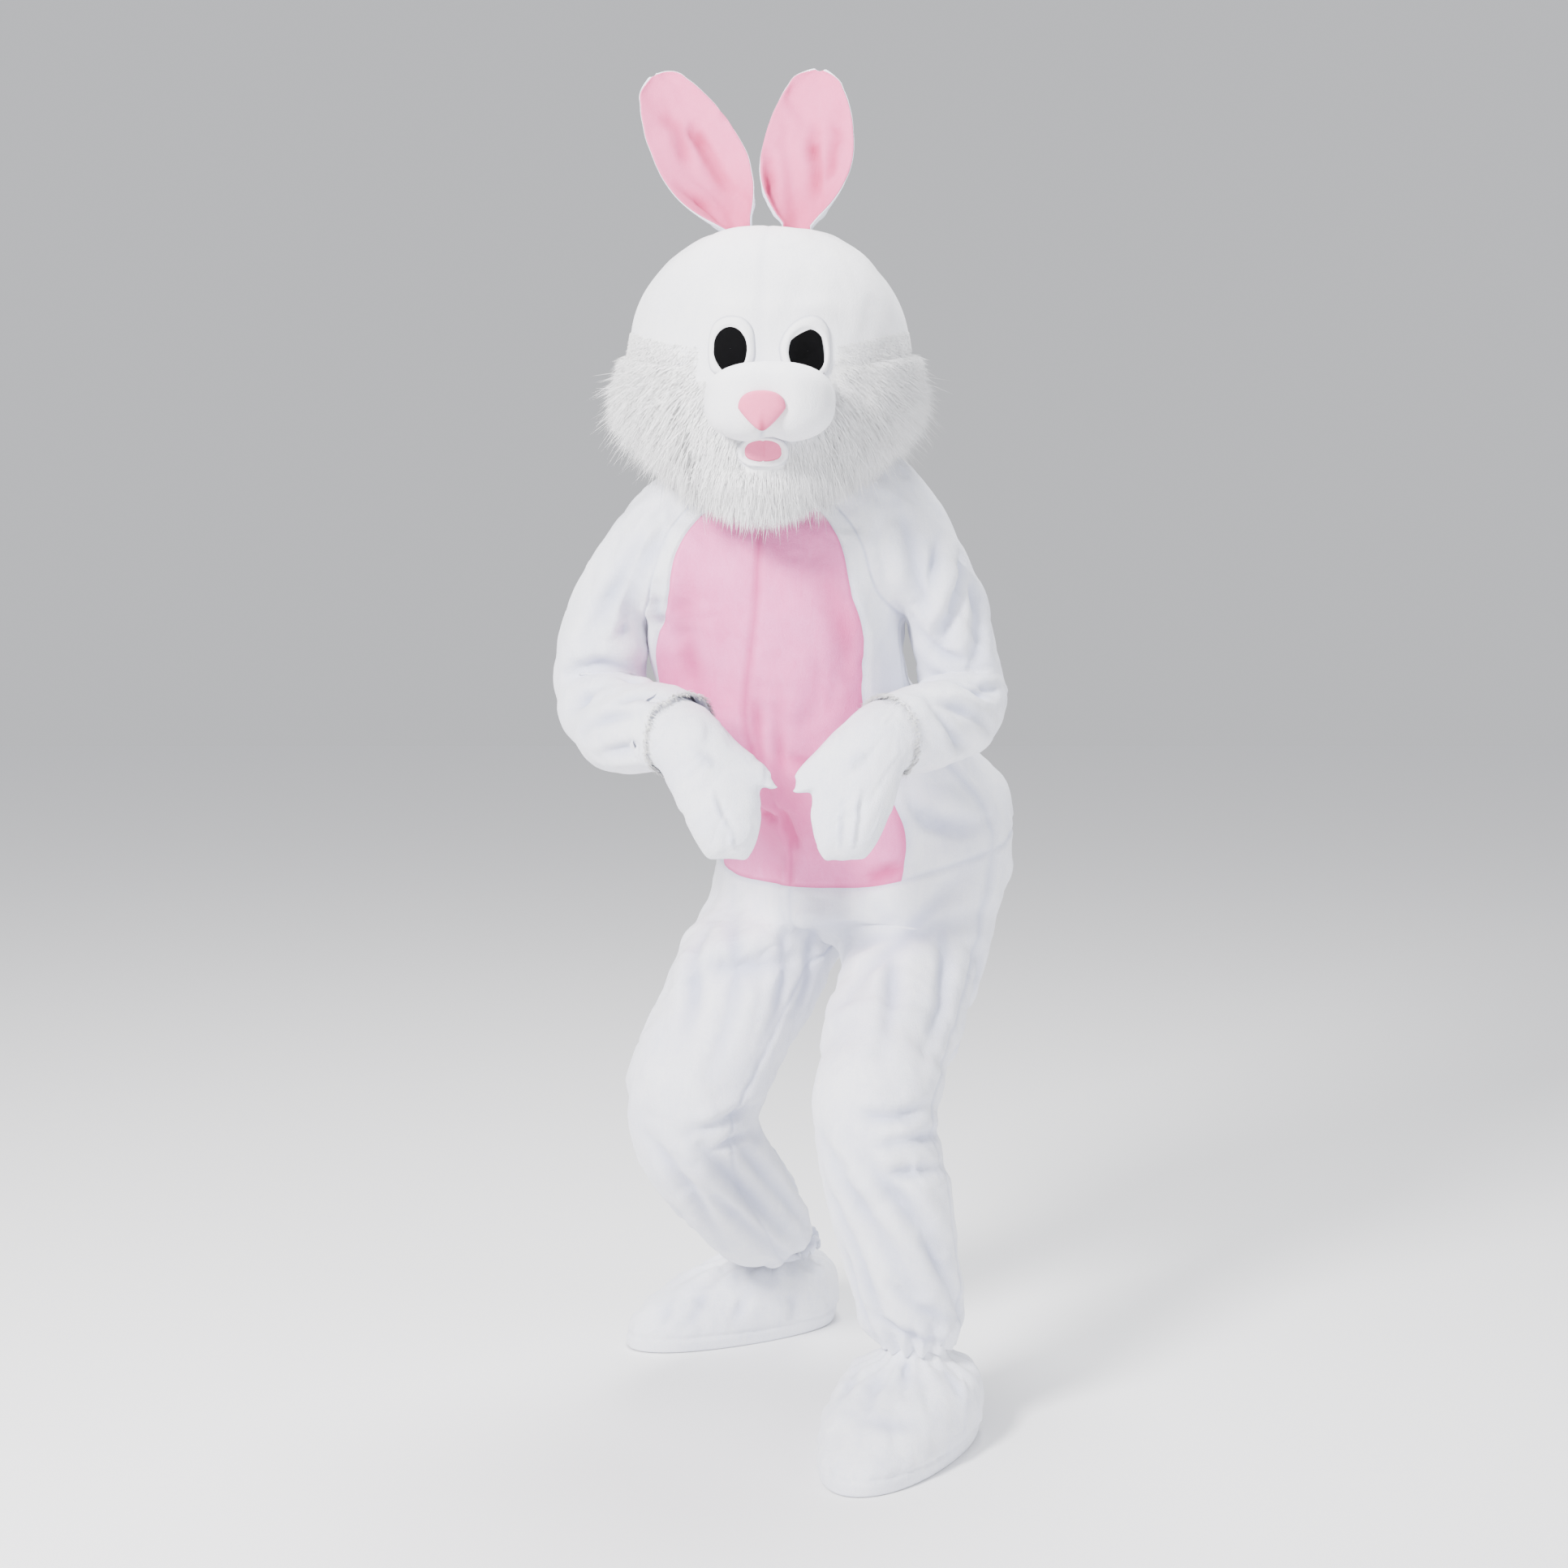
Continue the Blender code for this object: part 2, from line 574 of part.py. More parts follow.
def tube_rings(side, first_ring):
    """Rings down the arm. Each keeps the first ring's start, carried along the arm without a twist."""
    rings = []
    table = [CAP_ROWS[side][0], *SLEEVE_RINGS[side]]
    centres = np.array([[row.x, row.y, row.z] for row in table])
    under = unit(first_ring[0] - centres[0])
    for k in range(1, len(centres)):
        ahead = centres[min(k + 1, len(centres) - 1)] - centres[k - 1]
        along = unit(ahead)
        under = unit(under - along * (under @ along))
        front = np.cross(along, under) * (1 if side == "right" else -1)
        radius = table[k].radius * tightening(SLEEVE_COLUMNS)
        angles = np.linspace(0, 2 * math.pi, SLEEVE_COLUMNS + 1)
        rings.append([centres[k] + radius * (under * math.cos(a) + front * math.sin(a)) for a in angles])
        rings[-1][-1] = rings[-1][0]
    return rings


def chest_row(start, end, middle, bulge=0.75):
    """Seven points across the chest or the back, between the two sleeve seams."""
    start, end, middle = (np.array(p) for p in (start, end, middle))
    points = []
    for step in np.linspace(0, math.pi, 7):
        share = (1 - math.cos(step)) / 2
        chord = start + (end - start) * share
        points.append(chord + (middle - (start + end) / 2) * math.sin(step) ** bulge)
    return points


def leg_ring(row, along, sign):
    """Ten points round a leg, from its inner front round the outer side and back."""
    front, _ = facing(row.turn)
    front = unit(front - along * (front @ along))
    left = np.cross(front, along)
    inner = row.inner_angle
    outer_angles = np.linspace(-90 + inner / 2, 270 - inner / 2, 7)
    inner_angles = np.linspace(270 - inner / 2, 270 + inner / 2, 5)[1:-1]
    wide = tightening(10)
    centre = np.array([row.x, row.y, row.z])
    points = []
    for angle in np.radians(np.concatenate([outer_angles, inner_angles])):
        across = sign * left * row.half_width * math.sin(angle)
        points.append(centre + wide * (across + front * row.half_depth * math.cos(angle)))
    return points


def suit_cage():
    cage = Cage()
    rings = [body_ring(row) for row in BODY_RINGS]
    arcs = {side: cap_arcs(side) for side in ("left", "right")}
    rings[-1][3] = arcs["left"][0][0]
    rings[-1][9] = arcs["right"][0][0]

    def body_panel(r, c):
        side = "left" if c < 6 else "right"
        from_front = c if c < 6 else 11 - c
        if r == 0:
            return f"leg_front_{side}" if from_front < 3 else f"leg_back_{side}"
        if from_front < 2:
            return f"belly_{side}"
        return f"side_{side}" if from_front == 2 else f"back_{side}"

    cage.grid([ring + ring[:1] for ring in rings], body_panel)

    front_rows = [[rings[-1][i] for i in (9, 10, 11, 0, 1, 2, 3)]]
    back_rows = [[rings[-1][i] for i in (3, 4, 5, 6, 7, 8, 9)]]
    for k, row in enumerate(CHEST_ROWS, 1):
        centre_front = (row.front_x, row.front_y, row.front_z)
        centre_back = (row.back_x, row.back_y, row.back_z)
        front_rows.append(chest_row(arcs["right"][k][0], arcs["left"][k][0], centre_front))
        back_rows.append(chest_row(arcs["left"][k][-1], arcs["right"][k][-1], centre_back))
    front_names = ("side_right", "belly_right", "belly_right", "belly_left", "belly_left", "side_left")
    cage.grid(front_rows, lambda r, c: front_names[c])
    cage.grid(back_rows, lambda r, c: "back_left" if c < 3 else "back_right")

    for side, sign in (("left", 1), ("right", -1)):
        cage.grid(arcs[side], lambda r, c, name=f"sleeve_{side}": name, flip=sign < 0)
        tube = [arcs[side][0], *tube_rings(side, arcs[side][0])]
        cage.grid(tube, lambda r, c, name=f"sleeve_{side}": name, flip=sign > 0)

        order = (0, 1, 2, 3, 4, 5, 6) if sign > 0 else (0, 11, 10, 9, 8, 7, 6)
        rows = [[rings[0][i] for i in order] + list(CROTCH[::-1])]
        table = LEG_RINGS[side]
        centres = np.array([[row.x, row.y, row.z] for row in table])
        for k, row in enumerate(table):
            along = unit(centres[min(k + 1, len(table) - 1)] - centres[max(k - 1, 0)])
            if k == len(table) - 1:
                along = unit(along * (1 - HEM_LEVEL) - np.array([0, 0, HEM_LEVEL]))
            rows.append(leg_ring(row, along, sign))
        front_columns = (0, 1, 2, 8, 9)

        def leg_panel(r, c, side=side):
            return f"leg_front_{side}" if c in front_columns else f"leg_back_{side}"

        cage.grid([row + row[:1] for row in rows], leg_panel, flip=sign > 0)
    return cage


def gather_ankles(surface):
    """Waves that the elastic draws into each leg's hem, fading up the leg."""
    normals = surface.normals()
    for side in ("left", "right"):
        hem = LEG_RINGS[side][-1]
        centre = np.array([hem.x, hem.y, hem.z])
        front, left = facing(hem.turn)
        offset = surface.points - centre
        near = np.linalg.norm(offset[:, :2], axis=1) < 0.11
        fade = np.clip(1 - offset[:, 2] / GATHER_FADE, 0, 1) * near * (offset[:, 2] < GATHER_FADE)
        angle = np.arctan2(offset @ left, offset @ front)
        wave = np.cos(GATHERS * angle)
        surface.points = surface.points + normals * (GATHER_DEPTH * wave * fade)[:, None]


def build_suit():
    surface = suit_cage().smooth(1)
    surface.fold(SUIT_FOLDS)
    for side in ("left", "right"):
        body = (f"back_{side}", f"side_{side}", f"belly_{side}")
        surface.press_away(body, SLEEVE_RINGS[side], ARM_CLEARANCE)
    gather_ankles(surface)
    for name in sorted(set(surface.panels)):
        surface.wall(name, PLUSH, "pink_plush" if name.startswith("belly") else "white_plush")
    return surface


# Boot covers


def boot_row(row, side, neck):
    """Twelve points round a boot cover, toe first. Its neck slants with the leg that it goes up into."""
    front, left = facing(BOOT_TURN[side])
    x, y = BOOT_ANKLE[side]
    if neck:
        legs = LEG_RINGS[side][::-1]
        heights = [ring.z for ring in legs]
        x, y = (np.interp(row.z, heights, [getattr(ring, name) for ring in legs]) for name in ("x", "y"))
    wide = tightening(12)
    points = []
    for angle in np.radians(np.arange(0, 360, 30) + 15.0):
        reach = row.toe if math.cos(angle) > 0 else row.heel
        across = row.half_width * math.sin(angle) * (1 + 0.10 * math.cos(angle) * min(1, row.toe / 0.2))
        point = np.array([x, y, row.z]) + wide * (front * reach * math.cos(angle) + left * across)
        points.append(point)
    return points


def build_boot(side):
    cage = Cage()
    rows = [boot_row(row, side, k < BOOT_NECK) for k, row in enumerate(BOOT_ROWS)]
    cage.grid([row + row[:1] for row in rows], lambda r, c: f"boot_upper_{side}", flip=True)
    ring = rows[-1]
    cage.fill(ring, np.zeros(3), lambda r, c: f"boot_sole_{side}", flip=True)
    index = [cage.vertex(point) for point in ring]
    cage.sharp = {tuple(sorted(pair)) for pair in zip(index, index[1:] + index[:1])}
    surface = cage.smooth(1)
    surface.points[:, 2] = np.maximum(surface.points[:, 2], 0)
    surface.wall(f"boot_upper_{side}", PLUSH, "white_plush")
    surface.wall(f"boot_sole_{side}", PLUSH, "sole_cloth")


# Mittens


def build_mitten(side):
    """A pouch of two panels, palm and back of the hand, with the thumb cut in one with both."""
    table = HAND_ROWS[side]
    centres = np.array([[row.x, row.y, row.z] for row in table])
    back = unit(np.array(HAND_BACK))
    inwards = -1 if side == "left" else 1
    wide = tightening(8)
    rings = []
    for k, row in enumerate(table):
        along = unit(centres[min(k + 1, len(table) - 1)] - centres[max(k - 1, 0)])
        up = unit(back - along * (back @ along))
        out = np.cross(up, along)
        out = out * inwards * math.copysign(1, out[0])
        ring = []
        for angle in np.radians(np.arange(0, 360, 45)):
            across = out * row.half_width * math.cos(angle)
            ring.append(centres[k] + wide * (across + up * row.thickness * math.sin(angle)))
        rings.append(ring)
    flip = side == "right"
    palm, backs = f"mitten_palm_{side}", f"mitten_back_{side}"
    cage = Cage()

    def panel(r, c):
        if r == THUMB_ROW and c in (0, 7):
            return None
        return backs if c < 4 else palm

    cage.grid([ring + ring[:1] for ring in rings], panel, flip)

    # The thumb grows out of the two quads left open on its side.
    above, below = rings[THUMB_ROW], rings[THUMB_ROW + 1]
    root = [above[7], above[0], above[1], below[1], below[0], below[7]]
    middle = sum(root) / len(root)
    reach = np.array(THUMB_TIP[side]) - middle
    loops = [root]
    for row in THUMB_LOOPS:
        loop = []
        for point in root:
            offset = (point - middle) * row.size
            offset -= back * (offset @ back) * (1 - row.flat)
            loop.append(middle + reach * row.share + offset)
        loops.append(loop)
    thumb_panels = (palm, backs, backs, backs, palm, palm)
    cage.grid([loop + loop[:1] for loop in loops], lambda r, c: thumb_panels[c], flip)
    surface = cage.smooth(1)
    surface.wall(palm, PLUSH, "white_plush")
    surface.wall(backs, PLUSH, "white_plush")


# Head


def head_surface():
    cage = Cage()
    front, left = facing(HEAD_TURN)
    wide = tightening(12)
    rows = []
    for row in HEAD_RINGS:
        ring = []
        for angle in np.radians(np.arange(0, 360, 30)):
            ahead = math.cos(angle)
            depth, drop = (row.front, row.front_drop) if ahead > 0 else (row.back, row.back_drop)
            place = np.array([*HEAD_CENTRE, row.z - drop * ahead**2])
            ring.append(place + wide * (left * row.half_width * math.sin(angle) + front * depth * ahead))
        rows.append(ring)

    def panel(r, c):
        side = "left" if c < 6 else "right"
        from_front = c if c < 6 else 11 - c
        if r >= FUR_LINE or (from_front == 0 and r > 0):
            return f"crown_{side}"
        if from_front == 0:
            return "chin_pile"
        return f"cheek_pile_{side}" if from_front < 4 else "nape"

    cage.grid([ring + ring[:1] for ring in rows], panel)
    lift = np.array([0, 0, HEAD_TOP - HEAD_RINGS[-1].z])
    cage.fill(rows[-1], lift, lambda r, c: "crown_right" if c < 2 else "crown_left")
    return cage.smooth(1)


def pile_move(points, normals):
    """How far the pile's tips stand off the cloth: long on the cheeks, short along the other panels."""
    front, left = facing(HEAD_TURN)
    offset = points - np.array([*HEAD_CENTRE, 0])
    angle = np.degrees(np.arctan2(np.abs(offset @ left), offset @ front))
    ahead = np.clip(np.cos(np.radians(angle)), 0, 1) ** 2
    fur_line = HEAD_RINGS[FUR_LINE].z - HEAD_RINGS[FUR_LINE].front_drop * ahead
    chin_line = HEAD_RINGS[1].z - HEAD_RINGS[1].front_drop * ahead
    cheek = np.clip((angle - CHEEK_START) / (CHEEK_FULL - CHEEK_START), 0, 1)
    cheek = cheek**2 * (3 - 2 * cheek)
    under_face = np.clip((chin_line - points[:, 2]) / CHIN_SOFT, 0, 1) * (angle < CHIN_SPREAD)
    under_crown = np.clip((fur_line - points[:, 2]) / CROWN_SOFT, 0, 1)
    before_nape = np.clip((PILE_END - angle) / PILE_END_SOFT, 0, 1)
    share = np.maximum(cheek * (0.12 + 0.88 * under_crown), under_face) * before_nape
    length = CHIN_PILE + (CHEEK_PILE - CHIN_PILE) * cheek
    locks = 1 + LOCK_DEPTH * np.cos(LOCKS * np.radians(angle)) * under_crown
    droop = np.array([0, 0, -PILE_DROOP]) * (under_crown * (0.2 + 0.8 * ahead))[:, None]
    return (normals + droop) * (length * (SHORT_PILE + (1 - SHORT_PILE) * share) * locks)[:, None]


def build_head():
    surface = head_surface()
    for name in sorted(set(surface.panels)):
        if "pile" in name:
            surface.wall(name, HEAD_WALL, "white_fur", pile_move, PILE_GAP)
        else:
            surface.wall(name, HEAD_WALL, "white_plush")
    return surface


def seat_on(tree, x, z):
    """Where a line from the front meets the head, and which way its cloth looks there."""
    place, normal, _, _ = tree.ray_cast(Vector((x, -1.0, z)), Vector((0, 1, 0)))
    if place is None:
        raise ValueError(f"nothing of the head lies behind x {x:.3f}, z {z:.3f}")
    return np.array(place), np.array(normal)


def rounded(angle, power=0.8):
    """A point of a rounded box outline at this angle, from -1 to 1 each way."""
    c, s = math.cos(angle), math.sin(angle)
    return math.copysign(abs(c) ** power, c), math.copysign(abs(s) ** power, s)


def patch(name, tree, outline, lift, thickness, material):
    """A flat piece laid on the head. outline(angle) gives its edge, as seen from the front."""
    count, rings = PATCH_SIDES, 2
    angles = np.linspace(0, 2 * math.pi, count, endpoint=False)
    edge = np.array([outline(angle) for angle in angles])
    middle = edge.mean(axis=0)
    shares = [(k + 1) / rings for k in range(rings)]
    flat = [middle] + [middle + (p - middle) * share for share in shares for p in edge]
    lower, upper = [], []
    for x, z in flat:
        place, normal = seat_on(tree, x, z)
        lower.append(place + normal * lift)
        upper.append(place + normal * (lift + thickness))
    total = len(flat)
    faces = []
    for i in range(count):
        j = (i + 1) % count
        faces.append([0, 1 + i, 1 + j])
        for k in range(rings - 1):
            a, b = 1 + k * count, 1 + (k + 1) * count
            faces.append([a + i, b + i, b + j, a + j])
    solid = [[index + total for index in face] for face in faces] + [list(reversed(face)) for face in faces]
    last = 1 + (rings - 1) * count
    for i in range(count):
        j = (i + 1) % count
        solid.append([last + i, last + j, last + j + total, last + i + total])
    return make_object(name, np.array(lower + upper), solid, material)


def build_face(head):
    tree = head.tree()
    for side, eye in EYES.items():
        sign = 1 if side == "left" else -1

        def white(angle, eye=eye):
            c, s = rounded(angle, 0.85)
            return eye["x"] + eye["half_width"] * c, eye["z"] + eye["half_height"] * s

        def mesh(angle, eye=eye, sign=sign):
            c, s = rounded(angle, 0.75)
            x = eye["x"] - sign * EYE_MESH["inwards"] + EYE_MESH["half_width"] * c
            return x, eye["z"] - EYE_MESH["drop"] + EYE_MESH["half_height"] * s

        patch(f"eye_white_{side}", tree, white, LAID_ON, PATCH, "white_felt")
        patch(f"eye_mesh_{side}", tree, mesh, LAID_ON + PATCH + ON_PATCH, 0.001, "black_mesh")

    # A half round, flat side up, and the tongue on it
    for name, shape, lift, material in (
        ("mouth", MOUTH, LAID_ON, "white_felt"),
        ("tongue", TONGUE, LAID_ON + PATCH + ON_PATCH, "pink_felt"),
    ):

        def half_round(angle, shape=shape):
            c, s = rounded(angle, 0.85)
            drop = s * 0.6 if s > 0 else s
            return shape["x"] + shape["half_width"] * c, shape["z"] + shape["half_height"] * drop

        patch(name, tree, half_round, lift, PATCH, material)


def build_muzzle(head):
    """Two padded lobes in one cushion, with a cleft under the nose. Its back follows the face."""
    tree = head.tree()
    angles = np.linspace(0, 2 * math.pi, MUZZLE_SIDES, endpoint=False)

    def outline(angle, share):
        c, s = rounded(angle, 0.9)
        cleft = CLEFT["depth"] * math.exp(-((c / CLEFT["width"]) ** 2)) if s < 0 else 0.0
        x = MUZZLE["x"] + MUZZLE["half_width"] * share * c
        return x, MUZZLE["z"] + MUZZLE["half_height"] * share * s * (1 - cleft)

    base = []
    for angle in angles:
        x, z = outline(angle, 0.90)
        place, normal = seat_on(tree, x, z)
        base.append(place + normal * MUZZLE_GAP)
    base = np.array(base)
    loops = [base]
    for share, reach in MUZZLE_LOOPS:
        loop = []
        for angle, foot in zip(angles, base):
            x, z = outline(angle, share)
            loop.append((x, foot[1] + (MUZZLE["front"] - foot[1]) * reach, z))
        loops.append(loop)
    centre_back = base.mean(axis=0)
    inner = []
    for point in base:
        x, z = point[0] + (centre_back[0] - point[0]) * 0.5, point[2] + (centre_back[2] - point[2]) * 0.5
        place, normal = seat_on(tree, x, z)
        inner.append(place + normal * MUZZLE_GAP)
    loops.insert(0, np.array(inner))
    return loft("muzzle", np.array(loops), "white_plush")


def build_nose():
    angles = np.linspace(0, 2 * math.pi, NOSE_SIDES, endpoint=False)
    loops = []
    front = MUZZLE["front"]
    for share, reach in NOSE_LOOPS:
        loop = []
        for angle in angles:
            c, s = rounded(angle, 0.85)
            narrow = 1 - 0.62 * max(0.0, -s)
            x = NOSE["x"] + NOSE["half_width"] * share * c * narrow
            z = NOSE["z"] + NOSE["half_height"] * share * (s if s > 0 else 1.25 * s)
            loop.append((x, front - SEAM_GAP - NOSE["reach"] * reach, z))
        loops.append(loop)
    return loft("nose", np.array(loops), "pink_felt")


# Ears


def ear_point(ear, across, row, depth):
    """A point of an ear: across from -1 to 1 on this row of the outline, depth behind the hollow."""
    root, tip = np.array(ear.root), np.array(ear.tip)
    up = unit(tip - root)
    look = unit(np.array(ear.look) - up * (np.array(ear.look) @ up))
    side = np.cross(up, look)
    # The hollow is deepest near the root, where the sides fold forwards.
    folded = math.exp(-((row.share / 0.35) ** 2))
    width = row.half_width * ear.size
    forward = ear.cup * (0.3 + 0.7 * folded) * (across * across - 0.4) * min(1, width / 0.03)
    inwards = 1 - 0.08 * folded * across * across
    place = root + up * np.linalg.norm(tip - root) * row.share
    return place + side * width * across * inwards + look * (forward - depth)


def build_ear(side, tree):
    """Two sheets, hollow side and back. Their roots follow the crown."""
    ear = EARS[side]
    columns = np.linspace(-1, 1, 7)
    for name, near, far, material in (
        (f"ear_front_{side}", 0.0, EAR_SHEET, "ear_satin"),
        (f"ear_back_{side}", EAR_SHEET + SEAM_GAP, 2 * EAR_SHEET, "white_plush"),
    ):
        front = np.array([[ear_point(ear, u, row, near) for u in columns] for row in EAR_ROWS])
        back = np.array([[ear_point(ear, u, row, far) for u in columns] for row in EAR_ROWS])
        flat = front.reshape(-1, 3)
        for layer in (front, back):
            for point in layer[0]:
                seat, _, _, _ = tree.ray_cast(Vector((point[0], point[1], 2)), Vector((0, 0, -1)))
                point[2] = seat[2] + EAR_SEAT
        shape = front.shape[:2]
        index = np.arange(front[..., 0].size).reshape(shape)
        count = index.size
        faces = []
        for r in range(shape[0] - 1):
            for c in range(shape[1] - 1):
                quad = [int(i) for i in (index[r, c], index[r, c + 1], index[r + 1, c + 1], index[r + 1, c])]
                for half in halves(quad, flat):
                    faces.append(list(half))
                    faces.append([i + count for i in reversed(half)])
        rim = [*index[0, :], *index[1:, -1], *index[-1, -2::-1], *index[-2:0:-1, 0]]
        for a, b in zip(rim, rim[1:] + rim[:1]):
            faces.append([int(b), int(a), int(a) + count, int(b) + count])
        make_object(name, np.concatenate([front.reshape(-1, 3), back.reshape(-1, 3)]), faces, material)


def main():
    clear_scene()
    build_suit()
    for side in ("left", "right"):
        build_boot(side)
        build_mitten(side)
    head = build_head()
    for side in ("left", "right"):
        build_ear(side, head.tree())
    build_face(head)
    build_muzzle(head)
    build_nose()


main()
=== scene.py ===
import math

import bpy
import numpy as np
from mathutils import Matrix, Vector
from mathutils.bvhtree import BVHTree


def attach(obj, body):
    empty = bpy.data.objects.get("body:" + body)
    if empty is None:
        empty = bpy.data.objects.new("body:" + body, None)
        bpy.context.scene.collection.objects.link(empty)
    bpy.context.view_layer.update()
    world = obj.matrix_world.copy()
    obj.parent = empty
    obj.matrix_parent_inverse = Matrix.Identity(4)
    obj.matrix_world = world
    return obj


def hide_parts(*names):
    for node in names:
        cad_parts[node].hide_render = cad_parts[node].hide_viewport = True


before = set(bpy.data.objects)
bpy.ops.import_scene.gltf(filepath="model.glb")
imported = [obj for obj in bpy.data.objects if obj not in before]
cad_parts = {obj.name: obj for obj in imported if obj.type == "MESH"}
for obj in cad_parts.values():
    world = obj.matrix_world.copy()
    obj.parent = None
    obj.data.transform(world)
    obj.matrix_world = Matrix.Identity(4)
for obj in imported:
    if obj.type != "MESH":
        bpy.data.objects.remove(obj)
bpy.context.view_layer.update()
print("frame loaded")

# Tables give metres above the floor. This is where the frame's origin lies in them.
carriedAt = np.array([-0.015, 0.01, 1.2])
chestTurn = 12
sides = {"left": 1, "right": -1}


def unit(v):
    # v / |v|, along the last axis
    v = np.asarray(v, float)
    return v / np.maximum(np.linalg.norm(v, axis=-1, keepdims=True), 1e-12)


def facing(turn):
    # front (-sin t, -cos t, 0) and left (cos t, -sin t, 0) of something turned t degrees towards -X
    c, s = math.cos(math.radians(turn)), math.sin(math.radians(turn))
    return np.array([-s, -c, 0.0]), np.array([c, -s, 0.0])


def widen(columns):
    # 6 / (4 + 2 cos(2 pi / n)): how much wider a cage is than the smooth ring inside it
    return 6 / (4 + 2 * math.cos(2 * math.pi / columns))


def ease(x, low, high):
    # 3 t^2 - 2 t^3, with t the share of the way from low to high
    t = np.clip((x - low) / (high - low), 0, 1)
    return t * t * (3 - 2 * t)


def bell(x):
    # exp(-x^2)
    return np.exp(-(x**2))


def ripple(points, wavelength, seed, waves=7):
    # Sum of sines in random directions, each bent by the one before, mostly from -1 to 1
    rng = np.random.default_rng(seed)
    total = np.zeros(len(points))
    bend = np.zeros(len(points))
    for _ in range(waves):
        direction = unit(rng.normal(size=3)) * (2 * math.pi / (wavelength * rng.uniform(0.6, 1.5)))
        bend = np.sin(points @ direction + rng.uniform(0, 2 * math.pi) + 1.3 * bend)
        total += bend
    return total / math.sqrt(waves)


def curve(start, middle, end, spacing):
    # Parabola through the three points: (1-t)^2 a + 2 t (1-t) v + t^2 b, with v = 2 m - (a + b) / 2
    start, middle, end = (np.array(p, float) for p in (start, middle, end))
    length = np.linalg.norm(middle - start) + np.linalg.norm(end - middle)
    t = np.linspace(0, 1, int(np.clip(length / spacing, 8, 90)))[:, None]
    return (1 - t) ** 2 * start + 2 * t * (1 - t) * (2 * middle - (start + end) / 2) + t**2 * end


def newMesh(name, points, faces, material, normals=None):
    # An object with its place in its mesh, from arrays of points and of equal-sided faces
    faces = np.asarray(faces, np.int32)
    mesh = bpy.data.meshes.new(name)
    mesh.vertices.add(len(points))
    mesh.vertices.foreach_set("co", (points - carriedAt).astype(np.float32).ravel())
    mesh.loops.add(faces.size)
    mesh.loops.foreach_set("vertex_index", faces.ravel())
    mesh.polygons.add(len(faces))
    mesh.polygons.foreach_set("loop_start", np.arange(0, faces.size, faces.shape[1], dtype=np.int32))
    mesh.update(calc_edges=True)
    mesh.shade_smooth()
    if normals is not None:
        mesh.normals_split_custom_set_from_vertices(normals.tolist())
    mesh.materials.append(material)
    obj = bpy.data.objects.new(name, mesh)
    bpy.context.scene.collection.objects.link(obj)
    return obj


def shadeMesh(obj, values):
    # How much of the painted shade colour shows at each point, 0 to 1
    shade = obj.data.attributes.new("shade", "FLOAT", "POINT")
    shade.data.foreach_set("value", np.clip(values, 0, 1).astype(np.float32))
    return obj


def dress(obj, node):
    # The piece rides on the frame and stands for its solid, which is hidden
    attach(obj, "root")
    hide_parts(node)
    return obj


class Cage:
    # Coarse quads of one sewn thing, and the panel that each is cut in
    def __init__(self):
        self.quads = []
        self.panels = []
        self.sharp = []

    def grid(self, rows, panelOf, flip=False):
        # Quads between rows of points; panelOf(row, column) names the panel, or None for a hole
        rows = np.array(rows, float)
        quads = np.stack([rows[:-1, :-1], rows[:-1, 1:], rows[1:, 1:], rows[1:, :-1]], axis=2)
        for r, c in np.ndindex(*quads.shape[:2]):
            panel = panelOf(r, c)
            if panel:
                self.quads.append(quads[r, c][::-1] if flip else quads[r, c])
                self.panels.append(panel)

    def fill(self, ring, lift, panelOf, flip=False):
        # Closes a ring of 12 points with two rows of four quads
        ring = np.array(ring)
        middle = ring.mean(axis=0)
        one, two = (middle + (point - middle) * 0.5 + lift * 0.9 for point in (ring[9], ring[3]))
        rows = (ring[[10, 11, 0, 1, 2]], (ring[9], one, middle + lift, two, ring[3]), ring[[8, 7, 6, 5, 4]])
        self.grid(rows, panelOf, flip)

    def smooth(self, levels):
        # Catmull-Clark subdivision of the quads, read back as arrays
        corners = np.round(np.reshape(self.quads, (-1, 3)), 5)
        points, index = np.unique(corners, axis=0, return_inverse=True)
        faces = [list(dict.fromkeys(quad)) for quad in index.reshape(-1, 4).tolist()]
        names = sorted(set(self.panels))
        mesh = bpy.data.meshes.new("cage")
        mesh.from_pydata(points.tolist(), [], faces)
        numbers = [names.index(panel) for panel in self.panels]
        mesh.attributes.new("panel", "INT", "FACE").data.foreach_set("value", numbers)
        if len(self.sharp):
            keep = {tuple(np.round(p, 5)) for p in self.sharp}
            onRim = [tuple(p) in keep for p in points]
            marks = [float(onRim[e.vertices[0]] and onRim[e.vertices[1]]) for e in mesh.edges]
            mesh.attributes.new("crease_edge", "FLOAT", "EDGE").data.foreach_set("value", marks)
        holder = bpy.data.objects.new("cage", mesh)
        bpy.context.scene.collection.objects.link(holder)
        modifier = holder.modifiers.new("Smooth", "SUBSURF")
        modifier.levels = modifier.render_levels = levels
        bpy.context.view_layer.update()
        made = holder.evaluated_get(bpy.context.evaluated_depsgraph_get()).data
        place = np.empty(3 * len(made.vertices), np.float32)
        made.vertices.foreach_get("co", place)
        loops = np.empty(len(made.loops), np.int32)
        made.loops.foreach_get("vertex_index", loops)
        panels = np.empty(len(made.polygons), np.int32)
        made.attributes["panel"].data.foreach_get("value", panels)
        bpy.data.objects.remove(holder)
        return Surface(place.reshape(-1, 3).astype(float), loops.reshape(-1, 4), panels, names)


